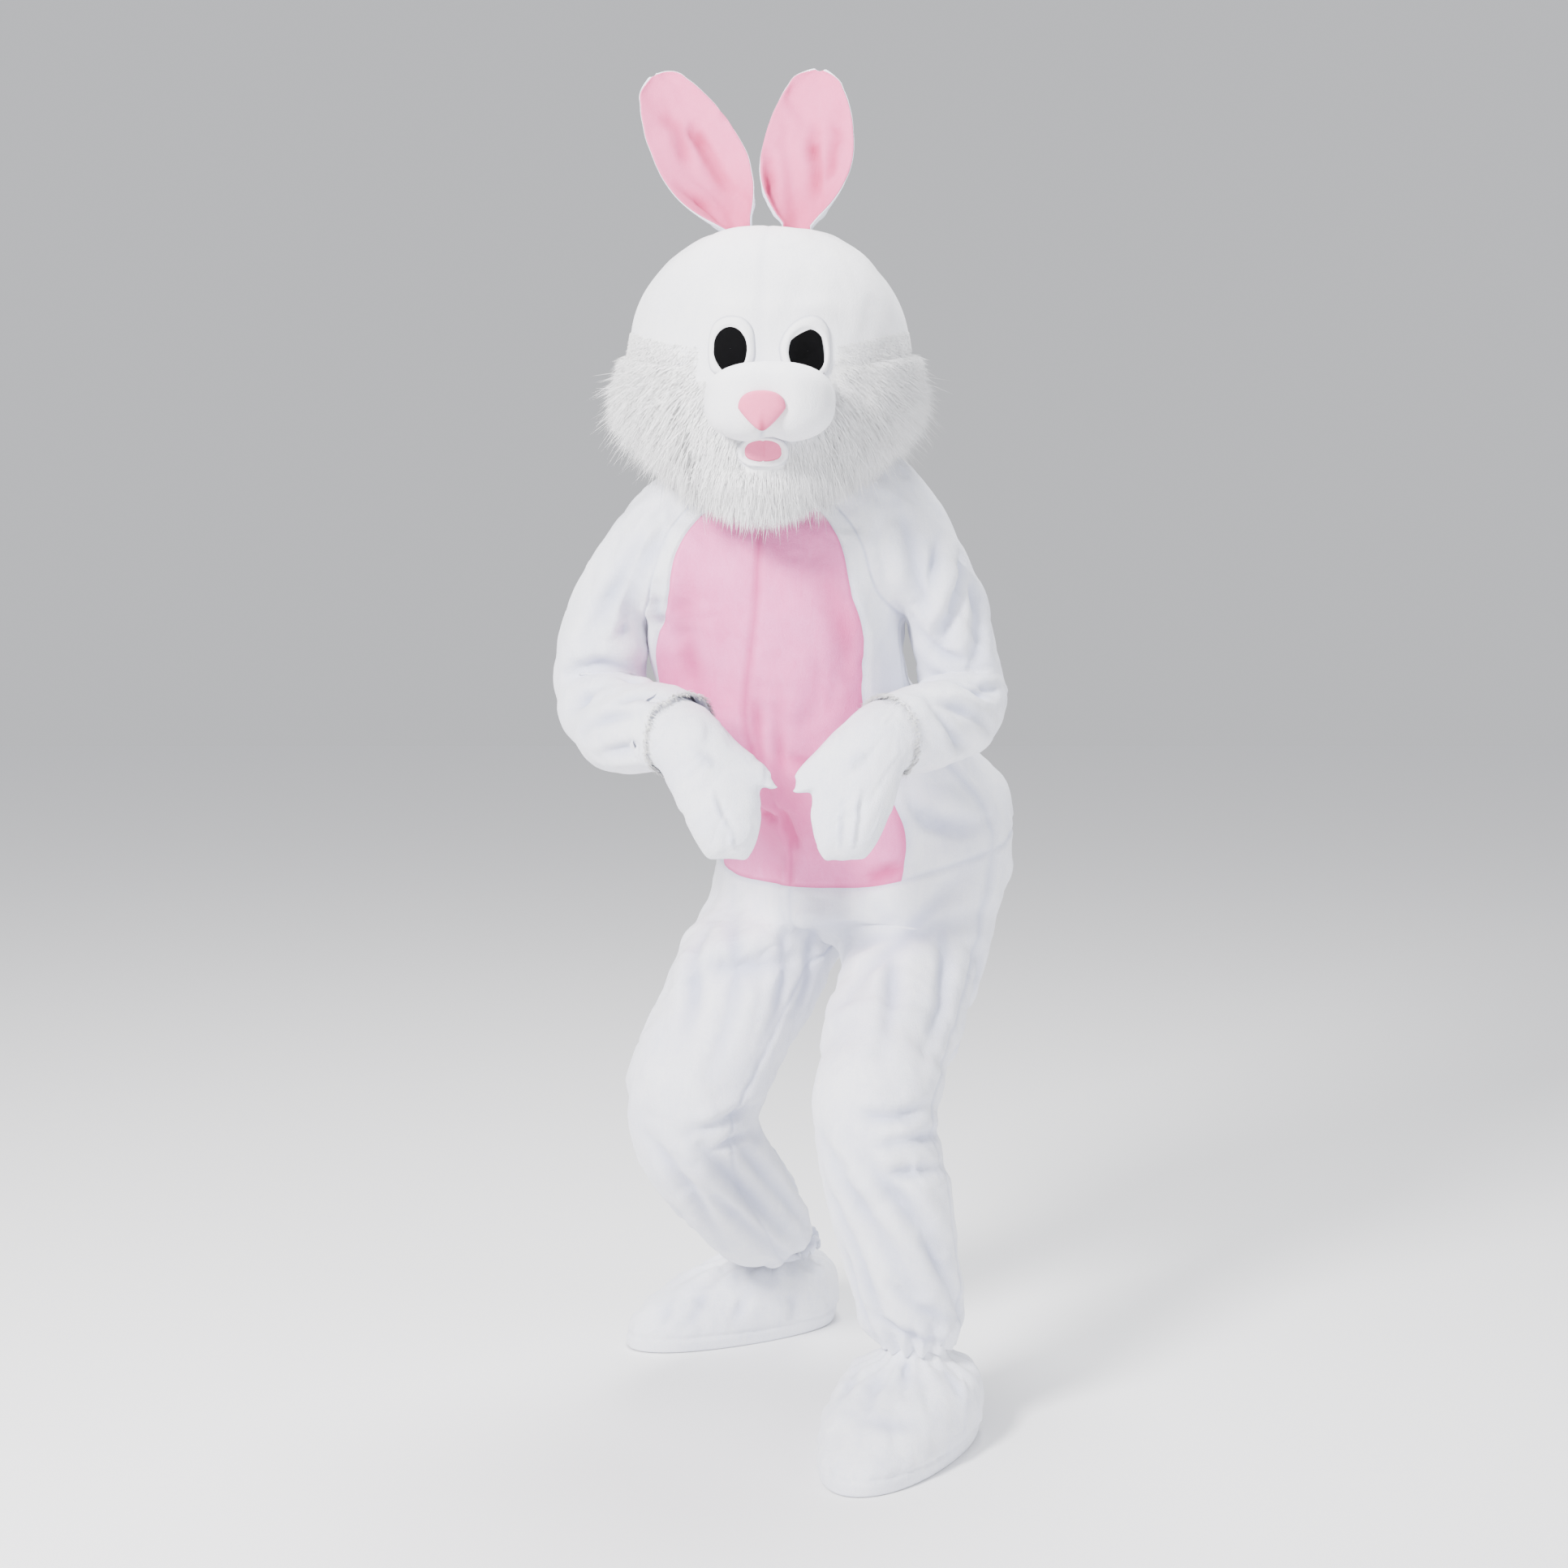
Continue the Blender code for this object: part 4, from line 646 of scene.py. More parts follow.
sleeveFolds = (
    ((-0.138, -0.089, 1.18), (-0.18, -0.079, 1.118), (-0.204, -0.013, 1.033), 14, 7),
    ((-0.163, -0.084, 1.179), (-0.212, -0.058, 1.097), (-0.25, -0.02, 1.027), 14, 7),
    ((-0.155, -0.07, 1.10), (-0.18, -0.06, 1.03), (-0.21, -0.03, 0.98), 10, 6),
    ((-0.275, -0.019, 0.936), (-0.255, -0.038, 0.949), (-0.234, -0.047, 0.962), 8, 6),
    ((-0.235, -0.067, 0.881), (-0.195, -0.12, 0.895), (-0.170, -0.125, 0.905), 9, 7),
    ((-0.275, 0.01, 0.979), (-0.236, -0.005, 0.996), (-0.191, 0.036, 0.988), 10, 6),
    ((-0.21, -0.103, 0.946), (-0.179, -0.119, 0.958), (-0.141, -0.143, 0.954), 9, 6),
    ((-0.257, -0.054, 0.908), (-0.22, -0.101, 0.931), (-0.18, -0.139, 0.939), 8, 5),
    ((0.205, 0.0, 1.17), (0.215, -0.03, 1.075), (0.172, -0.03, 0.975), 12, 9),
    ((0.195, -0.051, 1.158), (0.189, -0.059, 1.118), (0.182, -0.05, 1.081), 9, 6),
    ((0.14, -0.07, 1.20), (0.168, -0.075, 1.115), (0.158, -0.05, 1.02), 12, 7),
    ((0.245, -0.04, 0.975), (0.265, -0.03, 0.967), (0.283, 0, 0.963), 8, 6),
    ((0.225, -0.054, 0.969), (0.245, -0.05, 0.959), (0.267, -0.025, 0.953), 7, 5),
    ((0.183, -0.121, 0.956), (0.231, -0.09, 0.938), (0.261, -0.049, 0.913), 9, 7),
    ((0.186, -0.128, 0.946), (0.216, -0.113, 0.906), (0.234, -0.081, 0.891), 8, 6),
    ((0.239, -0.008, 1.116), (0.25, -0.011, 1.054), (0.237, 0, 0.984), 12, 7),
    ((0.171, -0.022, 1.054), (0.202, -0.012, 1.012), (0.241, -0.007, 0.999), 10, 6),
)
backFolds = (
    ((0.02, 0.30, 0.70), (0.12, 0.33, 0.665), (0.23, 0.24, 0.67), 16, 9),
    ((0.16, 0.33, 0.80), (0.19, 0.32, 0.72), (0.17, 0.28, 0.64), 14, 6),
    ((-0.06, 0.19, 0.90), (0.03, 0.24, 0.875), (0.14, 0.21, 0.90), 16, 9),
    ((-0.07, 0.17, 0.96), (0.02, 0.20, 0.935), (0.11, 0.17, 0.96), 12, 6),
    ((-0.10, 0.13, 1.10), (-0.08, 0.16, 1.02), (-0.04, 0.18, 0.95), 14, 5),
    ((0.12, 0.12, 1.10), (0.10, 0.15, 1.02), (0.06, 0.18, 0.95), 14, 5),
    ((0.10, -0.03, 0.46), (0.145, -0.035, 0.43), (0.19, -0.07, 0.45), 10, 7),
    ((0.09, -0.05, 0.41), (0.14, -0.045, 0.385), (0.19, -0.09, 0.40), 9, 6),
    ((0.11, -0.03, 0.35), (0.15, -0.035, 0.27), (0.20, -0.05, 0.20), 11, 6),
    ((0.16, 0.10, 0.62), (0.18, 0.08, 0.54), (0.15, 0.03, 0.47), 12, 5),
    ((0.22, 0.06, 0.62), (0.22, 0.04, 0.55), (0.20, -0.03, 0.48), 12, 6),
    ((-0.10, 0.19, 0.42), (-0.055, 0.165, 0.40), (-0.05, 0.11, 0.42), 10, 7),
    ((-0.10, 0.20, 0.37), (-0.045, 0.185, 0.36), (-0.04, 0.13, 0.37), 9, 6),
    ((-0.02, 0.18, 0.33), (0.02, 0.26, 0.25), (0.03, 0.34, 0.18), 11, 6),
    ((0.0, 0.22, 0.60), (-0.01, 0.20, 0.53), (-0.03, 0.17, 0.46), 12, 6),
    ((0.19, 0.10, 1.0), (0.24, 0.12, 0.97), (0.29, 0.08, 0.96), 10, 6),
    ((0.19, 0.09, 0.95), (0.24, 0.115, 0.93), (0.28, 0.06, 0.92), 9, 5),
    ((0.18, 0.09, 1.14), (0.22, 0.09, 1.07), (0.24, 0.09, 1.01), 12, 5),
    ((-0.20, 0.10, 1.0), (-0.25, 0.125, 0.97), (-0.30, 0.08, 0.96), 10, 6),
    ((-0.20, 0.10, 0.95), (-0.25, 0.12, 0.93), (-0.29, 0.06, 0.92), 9, 5),
    ((-0.19, 0.09, 1.13), (-0.23, 0.09, 1.06), (-0.25, 0.09, 1.0), 12, 5),
)


def bodyRing(row):
    # Twelve points: centre + left w sin(a) + front d cos(a), front leaning forwards and down
    z, x, y, halfWidth, frontDepth, backDepth, turn, lean, panelEdge = row
    front, left = facing(turn)
    lean = math.radians(lean)
    front = front * math.cos(lean) - np.array([0, 0, math.sin(lean)])
    half = (0, panelEdge / 2, panelEdge, 90, 120, 150, 180)
    angles = np.radians(half + tuple(-angle for angle in half[5:0:-1]))[:, None]
    depth = np.where(np.cos(angles) > 0, frontDepth, backDepth)
    oval = left * halfWidth * np.sin(angles) + front * depth * np.cos(angles)
    return np.array([x, y, z]) + widen(12) * oval


def capArcs(side):
    # Over the shoulder: centre + front d sin(a) - out r cos(a), a from the front seam round to the back seam
    front, left = facing(chestTurn)
    arcs = []
    for x, y, z, out, depth, rise, opening in capRows[side]:
        rise, opening = math.radians(rise), math.radians(opening)
        outwards = sides[side] * left * math.cos(rise) + np.array([0, 0, math.sin(rise)])
        a = np.linspace(opening, 2 * math.pi - opening, 9)[:, None]
        arcs.append(np.array([x, y, z]) + widen(8) * (front * depth * np.sin(a) - outwards * out * np.cos(a)))
    arcs[0][-1] = arcs[0][0]
    return arcs


def sleeveTube(side, firstRing):
    # Circles carried along the arm without a twist, each starting on its underside
    table = np.array([capRows[side][0][:4], *sleeveRings[side]])
    centres = table[:, :3]
    under = unit(firstRing[0] - centres[0])
    a = np.linspace(0, 2 * math.pi, 9)[:, None]
    rings = []
    for k in range(1, len(centres)):
        along = unit(centres[min(k + 1, len(centres) - 1)] - centres[k - 1])
        under = unit(under - along * (under @ along))
        front = np.cross(along, under) * -sides[side]
        rings.append(centres[k] + table[k, 3] * widen(8) * (under * np.cos(a) + front * np.sin(a)))
        rings[-1][-1] = rings[-1][0]
    return rings


def chestRow(start, end, middle):
    # Seven points: chord + bulge sin(s)^0.75 towards the middle point
    start, end, middle = (np.array(p) for p in (start, end, middle))
    s = np.linspace(0, math.pi, 7)[:, None]
    bulge = (middle - (start + end) / 2) * np.clip(np.sin(s), 0, 1) ** 0.75
    return start + (end - start) * (1 - np.cos(s)) / 2 + bulge


def legRing(row, along, sign):
    # Ten points: centre + side w sin(a) + front d cos(a), square to the leg
    x, y, z, halfWidth, halfDepth, turn, inner = row
    front = facing(turn)[0]
    front = unit(front - along * (front @ along))
    left = np.cross(front, along)
    outerAngles = np.linspace(-90 + inner / 2, 270 - inner / 2, 7)
    innerAngles = np.linspace(270 - inner / 2, 270 + inner / 2, 5)[1:-1]
    a = np.radians(np.concatenate([outerAngles, innerAngles]))[:, None]
    oval = sign * left * halfWidth * np.sin(a) + front * halfDepth * np.cos(a)
    return np.array([x, y, z]) + widen(10) * oval


def suitCage():
    cage = Cage()
    rings = [bodyRing(row) for row in bodyRings]
    arcs = {side: capArcs(side) for side in sides}
    rings[-1][3] = arcs["left"][0][0]
    rings[-1][9] = arcs["right"][0][0]

    def bodyPanel(r, c):
        side = "left" if c < 6 else "right"
        fromFront = c if c < 6 else 11 - c
        if r == 0:
            return f"leg_front_{side}" if fromFront < 3 else f"leg_back_{side}"
        if fromFront < 2:
            return f"belly_{side}"
        return f"side_{side}" if fromFront == 2 else f"back_{side}"

    cage.grid([np.concatenate([ring, ring[:1]]) for ring in rings], bodyPanel)
    frontRows = [rings[-1][[9, 10, 11, 0, 1, 2, 3]]]
    backRows = [rings[-1][[3, 4, 5, 6, 7, 8, 9]]]
    for k, (centreFront, centreBack) in enumerate(chestRows, 1):
        frontRows.append(chestRow(arcs["right"][k][0], arcs["left"][k][0], centreFront))
        backRows.append(chestRow(arcs["left"][k][-1], arcs["right"][k][-1], centreBack))
    frontNames = ("side_right", "belly_right", "belly_right", "belly_left", "belly_left", "side_left")
    cage.grid(frontRows, lambda r, c: frontNames[c])
    cage.grid(backRows, lambda r, c: "back_left" if c < 3 else "back_right")
    for side, sign in sides.items():
        cage.grid(arcs[side], lambda r, c: f"sleeve_{side}", flip=sign < 0)
        cage.grid([arcs[side][0], *sleeveTube(side, arcs[side][0])], lambda r, c: f"sleeve_{side}", flip=sign > 0)
        order = (0, 1, 2, 3, 4, 5, 6) if sign > 0 else (0, 11, 10, 9, 8, 7, 6)
        rows = [np.concatenate([rings[0][list(order)], np.array(crotch[::-1])])]
        centres = np.array([row[:3] for row in legRings[side]])
        for k, row in enumerate(legRings[side]):
            along = unit(centres[min(k + 1, len(centres) - 1)] - centres[max(k - 1, 0)])
            rows.append(legRing(row, np.array([0, 0, -1.0]) if k == len(centres) - 1 else along, sign))
        legPanel = lambda r, c: f"leg_front_{side}" if c in (0, 1, 2, 8, 9) else f"leg_back_{side}"
        cage.grid([np.concatenate([row, row[:1]]) for row in rows], legPanel, flip=sign > 0)
    return cage


def pressAway(surface, side):
    # Body points nearer to a sleeve's tube than its radius and the clearance move straight off it
    own = [surface.names.index(f"{part}_{side}") for part in ("back", "side", "belly")]
    used = np.unique(surface.faces[np.isin(surface.panels, own)])
    used = np.setdiff1d(used, np.unique(surface.faces[~np.isin(surface.panels, own)]))
    table = np.array(sleeveRings[side])
    for first, second in zip(table, table[1:]):
        start, along = first[:3], second[:3] - first[:3]
        offset = surface.points[used] - start
        share = np.clip(offset @ along / (along @ along), 0, 1)[:, None]
        away = offset - along * share
        distance = np.linalg.norm(away, axis=1, keepdims=True)
        least = first[3] + (second[3] - first[3]) * share + suit["armClearance"]
        surface.points[used] += unit(away) * np.maximum(least - distance, 0)


def gatherAnkles(surface):
    # Elastic: uneven waves d cos(n a) that fade up the leg, and a bulge of slack cloth over the hem
    normals = surface.normals()
    for side in sides:
        x, y, z, _, _, turn, _ = legRings[side][-1]
        front, left = facing(turn)
        offset = surface.points - np.array([x, y, z])
        near = np.linalg.norm(offset[:, :2], axis=1) < 0.11
        fade = (1 - ease(offset[:, 2], 0.0, suit["gatherFade"])) * near * (offset[:, 2] < suit["gatherFade"])
        angle = np.arctan2(offset @ left, offset @ front)
        deep = 0.75 + 0.35 * np.sin(2 * angle + 1)
        wave = np.cos(suit["gathers"] * angle + 0.9 * np.sin(3 * angle)) * deep
        slack = bell((offset[:, 2] - 0.034) / 0.018) * near * 0.004 * (1 + 0.5 * np.sin(2 * angle + z * 40))
        surface.points = surface.points + normals * (suit["gatherDepth"] * wave * fade + slack)[:, None]


suitSurface = suitCage().smooth(suit["levels"])
for number, (wavelength, depth) in enumerate((suit["softWave"], suit["smallWave"])):
    suitSurface.push(depth * ripple(suitSurface.points, wavelength, 11 + number))
for folds in (frontFolds, legFolds, sleeveFolds, backFolds):
    suitSurface.crease(folds, depthScale=suit["foldDepth"])
for place in suit["slack"]:
    away = np.linalg.norm(suitSurface.points - np.array(place), axis=1)
    suitSurface.push(suit["bulge"][0] * bell(away / suit["bulge"][1]))
for side in sides:
    pressAway(suitSurface, side)
suitSurface.soften(*suit["hip"])
gatherAnkles(suitSurface)
suitSurface.groove(suit["seamDepth"], grooveShade=0.75)
suitSurface.darken(suit["shadows"])
suitRims = {f"sleeve_{side}": suitSurface.rim(f"sleeve_{side}") for side in sides}
suitSurface.turnIn(suit["hem"])
suitNormals = suitSurface.normals()
for panel in suitSurface.names:
    kind, side = panel.rsplit("_", 1)
    pink = kind == "belly"
    obj = suitSurface.piece(panel, f"{panel}_cloth", pinkPlush if pink else whitePlush, suitNormals)
    slotName = "pink_plush" if pink else "white_plush"
    dress(obj, panel)
print("suit made")

# Boot covers
boot = {
    "levels": 4,
    "ankle": {"left": (0.168, -0.090), "right": (-0.012, 0.398)},
    "turn": {"left": 21, "right": 54},
    "neckRows": 2,
    "bandHeight": 0.021,
    "cuts": {"boot_upper": (0.42, 0.40, 0.107), "boot_sole": (0.19, 0.33, 0.045)},
}
# z, heel, toe, half width
bootRows = (
    (0.128, 0.037, 0.038, 0.037),
    (0.102, 0.040, 0.042, 0.040),
    (0.092, 0.078, 0.106, 0.080),
    (0.068, 0.095, 0.192, 0.093),
    (0.028, 0.097, 0.258, 0.094),
    (0.000, 0.088, 0.252, 0.086),
)
bootFolds = {
    "left": (
        ((0.157, -0.131, 0.106), (0.156, -0.143, 0.096), (0.154, -0.181, 0.083), 6, 5),
        ((0.103, -0.095, 0.082), (0.089, -0.146, 0.075), (0.076, -0.20, 0.064), 8, 5),
        ((0.201, -0.134, 0.095), (0.211, -0.152, 0.083), (0.22, -0.181, 0.068), 8, 5),
        ((0.075, -0.204, 0.063), (0.125, -0.256, 0.063), (0.186, -0.231, 0.062), 14, 4),
        ((0.118, -0.141, 0.086), (0.112, -0.201, 0.075), (0.094, -0.279, 0.05), 10, 4),
        ((0.19, -0.01, 0.09), (0.20, 0.0, 0.06), (0.19, 0.01, 0.03), 9, 4),
        ((0.13, -0.03, 0.09), (0.115, -0.02, 0.06), (0.11, -0.02, 0.03), 9, 4),
    ),
    "right": (
        ((-0.112, 0.292, 0.071), (-0.122, 0.257, 0.061), (-0.133, 0.233, 0.044), 8, 5),
        ((-0.053, 0.286, 0.076), (-0.059, 0.259, 0.062), (-0.069, 0.242, 0.039), 8, 5),
        ((0.01, 0.294, 0.071), (0.019, 0.289, 0.056), (0.028, 0.292, 0.035), 8, 4),
        ((-0.158, 0.296, 0.061), (-0.166, 0.259, 0.05), (-0.172, 0.232, 0.033), 9, 4),
        ((0.02, 0.44, 0.09), (0.03, 0.46, 0.06), (0.03, 0.47, 0.03), 9, 4),
        ((-0.09, 0.38, 0.085), (-0.14, 0.40, 0.06), (-0.16, 0.40, 0.03), 9, 4),
    ),
}


def bootRow(row, side, neck):
    # Twelve points: ankle + front r cos(a) + left w sin(a) (1 + 0.1 cos a), toe first
    z, heel, toe, halfWidth = row
    front, left = facing(boot["turn"][side])
    x, y = boot["ankle"][side]
    if neck:
        legs = np.array([ring[:3] for ring in legRings[side]])[::-1]
        x, y = (np.interp(z, legs[:, 2], legs[:, k]) for k in (0, 1))
    a = np.radians(np.arange(0, 360, 30) + 15.0)[:, None]
    reach = np.where(np.cos(a) > 0, toe, heel)
    across = halfWidth * np.sin(a) * (1 + 0.10 * np.cos(a) * min(1, toe / 0.2))
    return np.array([x, y, z]) + widen(12) * (front * reach * np.cos(a) + left * across)


for side in sides:
    cage = Cage()
    rows = [bootRow(row, side, k < boot["neckRows"]) for k, row in enumerate(bootRows)]
    cage.grid([np.concatenate([row, row[:1]]) for row in rows], lambda r, c: f"boot_upper_{side}", flip=True)
    cage.fill(rows[-1], np.zeros(3), lambda r, c: f"boot_sole_{side}", flip=True)
    cage.sharp = rows[-1]
    surface = cage.smooth(boot["levels"])
    surface.crease(bootFolds[side])
    x, y = boot["ankle"][side]
    front, left = facing(boot["turn"][side])
    offset = surface.points - np.array([x, y, 0])
    z, angle = surface.points[:, 2], np.arctan2(offset @ left, offset @ front)
    puckers = np.cos(17 * angle + 1.4 * np.sin(2 * angle)) * 0.0022 * bell((z - 0.090) / 0.02)
    bandLine = -0.0024 * bell((z - boot["bandHeight"]) / 0.0035)
    bandPuckers = 0.0009 * np.cos(64 * angle) * bell((z - boot["bandHeight"] - 0.006) / 0.006)
    slouch = 0.0022 * ripple(surface.points, 0.09, 31) * ease(z, 0.01, 0.04)
    surface.push(puckers + bandLine + bandPuckers + slouch)
    surface.points[:, 2] = np.maximum(surface.points[:, 2], 0)
    surface.groove(0.0012)
    surface.points[:, 2] = np.maximum(surface.points[:, 2], 0)
    surface.turnIn(0.012)
    shared = surface.normals()
    upper = surface.piece(f"boot_upper_{side}", f"boot_upper_{side}_cloth", whitePlush, shared)
    cut = boot["cuts"]["boot_upper"]
    dress(upper, f"boot_upper_{side}")
    sole = surface.piece(f"boot_sole_{side}", f"boot_sole_{side}_cloth", soleCloth)
    dress(sole, f"boot_sole_{side}")
print("boot covers made")

# Mittens
mitten = {
    "levels": 4,
    "back": (0.0, -0.93, 0.36),
    "thumbRow": 3,
    "thumbTip": {"left": (0.012, -0.160, 0.853), "right": (-0.011, -0.160, 0.857)},
    "thumbLoops": ((0.45, 0.74, 0.80), (0.85, 0.50, 0.55), (1.00, 0.22, 0.00)),
    "cuts": {"mitten_back": (0.19, 0.24, 0.029), "mitten_palm": (0.19, 0.24, 0.027)},
}
# x, y, z, half width, half thickness, cuff to fingertips
handRows = {
    "left": (
        (0.1545, -0.0989, 0.9146, 0.0470, 0.0470),
        (0.1310, -0.1210, 0.9096, 0.0475, 0.0470),
        (0.115, -0.138, 0.904, 0.048, 0.042),
        (0.096, -0.150, 0.881, 0.053, 0.036),
        (0.087, -0.160, 0.835, 0.050, 0.031),
        (0.077, -0.165, 0.798, 0.044, 0.029),
        (0.075, -0.166, 0.772, 0.034, 0.022),
        (0.077, -0.166, 0.755, 0.018, 0.000),
    ),
    "right": (
        (-0.1545, -0.0948, 0.9167, 0.0470, 0.0470),
        (-0.1325, -0.1235, 0.9105, 0.0475, 0.0470),
        (-0.119, -0.140, 0.903, 0.047, 0.042),
        (-0.099, -0.150, 0.877, 0.051, 0.036),
        (-0.080, -0.160, 0.835, 0.050, 0.031),
        (-0.071, -0.165, 0.800, 0.044, 0.029),
        (-0.070, -0.166, 0.773, 0.034, 0.022),
        (-0.071, -0.166, 0.755, 0.018, 0.000),
    ),
}
fingerLines = {
    "left": (
        ((0.093, -0.20, 0.850), (0.088, -0.205, 0.815), (0.084, -0.20, 0.775), 3.2, 4.5),
        ((0.068, -0.20, 0.838), (0.066, -0.205, 0.808), (0.066, -0.20, 0.776), 3.0, 4.0),
        ((0.098, -0.20, 0.905), (0.086, -0.21, 0.895), (0.070, -0.20, 0.89), 7, 3.5),
    ),
    "right": (
        ((-0.090, -0.20, 0.852), (-0.078, -0.205, 0.82), (-0.068, -0.20, 0.800), 3.2, 4.5),
        ((-0.066, -0.20, 0.80), (-0.064, -0.205, 0.785), (-0.062, -0.20, 0.770), 3.0, 4.0),
        ((-0.110, -0.20, 0.905), (-0.098, -0.21, 0.893), (-0.078, -0.20, 0.888), 7, 3.5),
    ),
}


def mittenCage(side):
    # Ovals across the hand, and a thumb that grows out of the two quads left open on its side
    table = np.array(handRows[side])
    centres = table[:, :3]
    back = unit(mitten["back"])
    inwards = -sides[side]
    a = np.radians(np.arange(0, 360, 45))[:, None]
    rings = []
    for k, (_, _, _, halfWidth, thickness) in enumerate(table):
        along = unit(centres[min(k + 1, len(table) - 1)] - centres[max(k - 1, 0)])
        up = unit(back - along * (back @ along))
        out = np.cross(up, along)
        out = out * inwards * math.copysign(1, out[0])
        rings.append(centres[k] + widen(8) * (out * halfWidth * np.cos(a) + up * thickness * np.sin(a)))
    palm, backs = f"mitten_palm_{side}", f"mitten_back_{side}"
    cage = Cage()

    def panel(r, c):
        if r == mitten["thumbRow"] and c in (0, 7):
            return None
        return backs if c < 4 else palm

    cage.grid([np.concatenate([ring, ring[:1]]) for ring in rings], panel, side == "right")
    above, below = rings[mitten["thumbRow"]], rings[mitten["thumbRow"] + 1]
    root = np.array([above[7], above[0], above[1], below[1], below[0], below[7]])
    middle = root.mean(axis=0)
    reach = np.array(mitten["thumbTip"][side]) - middle
    loops = [root]
    for share, size, flat in mitten["thumbLoops"]:
        offset = (root - middle) * size
        offset = offset - back * (offset @ back)[:, None] * (1 - flat)
        if flat == 0:
            # Palm and back meet at the tip
            for one, other in ((0, 2), (5, 3)):
                offset[[one, other]] = (offset[one] + offset[other]) / 2
        loops.append(middle + reach * share + offset)
    thumbPanels = (palm, backs, backs, backs, palm, palm)
    cage.grid([np.concatenate([loop, loop[:1]]) for loop in loops], lambda r, c: thumbPanels[c], side == "right")
    return cage


for side in sides:
    surface = mittenCage(side).smooth(mitten["levels"])
    surface.push(0.0010 * ripple(surface.points, 0.05, 41))
    surface.crease(fingerLines[side], rise=0.5)
    surface.groove(0.0005)
    surface.turnIn(0.010)
    shared = surface.normals()
    for part in ("mitten_back", "mitten_palm"):
        node = f"{part}_{side}"
        obj = surface.piece(node, f"{node}_cloth", whitePlush, shared)
        dress(obj, node)
print("mittens made")

# Head
head = {
    "levels": 4,
    "centre": (-0.018, -0.040),
    "turn": 4,
    "top": 1.553,
    "furLine": 3,
    "brow": ((0.024, 1.432, 0.034, 0.016, 0.0055), (-0.064, 1.434, 0.034, 0.016, 0.0055)),
    "cuts": {
        "crown": (0.34, 0.46, 0.107), "cheek_pile": (0.20, 0.24, 0.033), "chin_pile": (0.17, 0.07, 0.007),
        "nape": (0.34, 0.15, 0.040),
    },
}
# z, half width, front, back, drop of the front, drop of the back
headRings = (
    (1.290, 0.128, 0.152, 0.140, 0.096, 0.020),
    (1.318, 0.157, 0.170, 0.160, 0.084, 0.014),
    (1.347, 0.173, 0.180, 0.172, 0.056, 0.006),
    (1.384, 0.178, 0.181, 0.178, 0.030, 0.0),
    (1.437, 0.171, 0.170, 0.172, 0.006, 0.0),
    (1.488, 0.143, 0.140, 0.146, 0.0, 0.0),
    (1.530, 0.092, 0.089, 0.092, 0.0, 0.0),
)
headFront, headLeft = facing(head["turn"])


def headSurface():
    # Rings: centre + left w sin(a) + front d cos(a), each lower by its drop times cos(a)^2
    cage = Cage()
    a = np.radians(np.arange(0, 360, 30))[:, None]
    ahead = np.cos(a)
    rows = []
    for z, halfWidth, frontDepth, backDepth, frontDrop, backDrop in headRings:
        depth = np.where(ahead > 0, frontDepth, backDepth)
        drop = np.where(ahead > 0, frontDrop, backDrop) * ahead**2
        ring = np.array([*head["centre"], z]) - drop * np.array([0, 0, 1])
        rows.append(ring + widen(12) * (headLeft * halfWidth * np.sin(a) + headFront * depth * ahead))

    def panel(r, c):
        side = "left" if c < 6 else "right"
        fromFront = c if c < 6 else 11 - c
        if r >= head["furLine"] or (fromFront == 0 and r > 0):
            return f"crown_{side}"
        if fromFront == 0:
            return "chin_pile"
        return f"cheek_pile_{side}" if fromFront < 4 else "nape"

    cage.grid([np.concatenate([ring, ring[:1]]) for ring in rows], panel)
    lift = np.array([0, 0, head["top"] - headRings[-1][0]])
    cage.fill(rows[-1], lift, lambda r, c: "crown_right" if c < 2 else "crown_left")
    return cage.smooth(head["levels"])


headCloth = headSurface()
for x, z, wide, high, lift in head["brow"]:
    ahead = headCloth.points[:, 1] < head["centre"][1]
    ridge = bell((headCloth.points[:, 0] - x) / wide) * bell((headCloth.points[:, 2] - z) / high)
    headCloth.push(lift * ahead * ridge)
headCloth.push(0.0012 * ripple(headCloth.points, 0.11, 51))
headCloth.groove(0.0010, grooveShade=0.25)
headTree = headCloth.tree()
headNormals = headCloth.normals()
for panel in headCloth.names:
    kind = panel.replace("_left", "").replace("_right", "")
    obj = headCloth.piece(panel, f"{panel}_cloth", headPlush if kind == "crown" else whiteFur, headNormals)
    slotName = "white_plush" if kind == "crown" else "white_fur"
    seat = "nape" if kind == "crown" else "crown_left"
    dress(obj, panel)
print("head made")

# Long pile on the cheeks and the chin, short behind and on the crown beside the face
pile = {
    "cheek": 0.052,
    "chin": 0.038,
    "nape": 0.012,
    "crown": 0.016,
    # Degrees off the cloth before and beside the face, and the place that the hairs run away from
    "lift": (16, 56),
    "from": (-0.017, 1.345),
    # Pull downwards, sag and unevenness as shares of the length, and the radius at the root
    "fall": 0.75,
    "sag": 0.16,
    "stray": 0.10,
    "root": 0.00050,
    # Share of loose wisps, and how much longer and more uneven they are
    "wisps": (0.07, 0.22, 1.3),
    # Degrees round the head where the nape's pile is short, and where the crown's band ends
    "end": 122,
    "bandEnd": 102,
    # panel, hairs, locks, seed
    "pieces": (
        ("cheek_pile_left", 15000, 900, 61),
        ("cheek_pile_right", 15000, 900, 62),
        ("chin_pile", 7000, 400, 63),
        ("nape", 3000, 200, 64),
        ("crown_left", 4400, 500, 65),
        ("crown_right", 4400, 500, 66),
    ),
    # Bare of long pile: middle x and z, half width, half height
    "bare": ((-0.017, 1.321, 0.074, 0.045), (0.025, 1.388, 0.036, 0.042), (-0.063, 1.389, 0.034, 0.040),
             (-0.025, 1.262, 0.030, 0.020)),
}


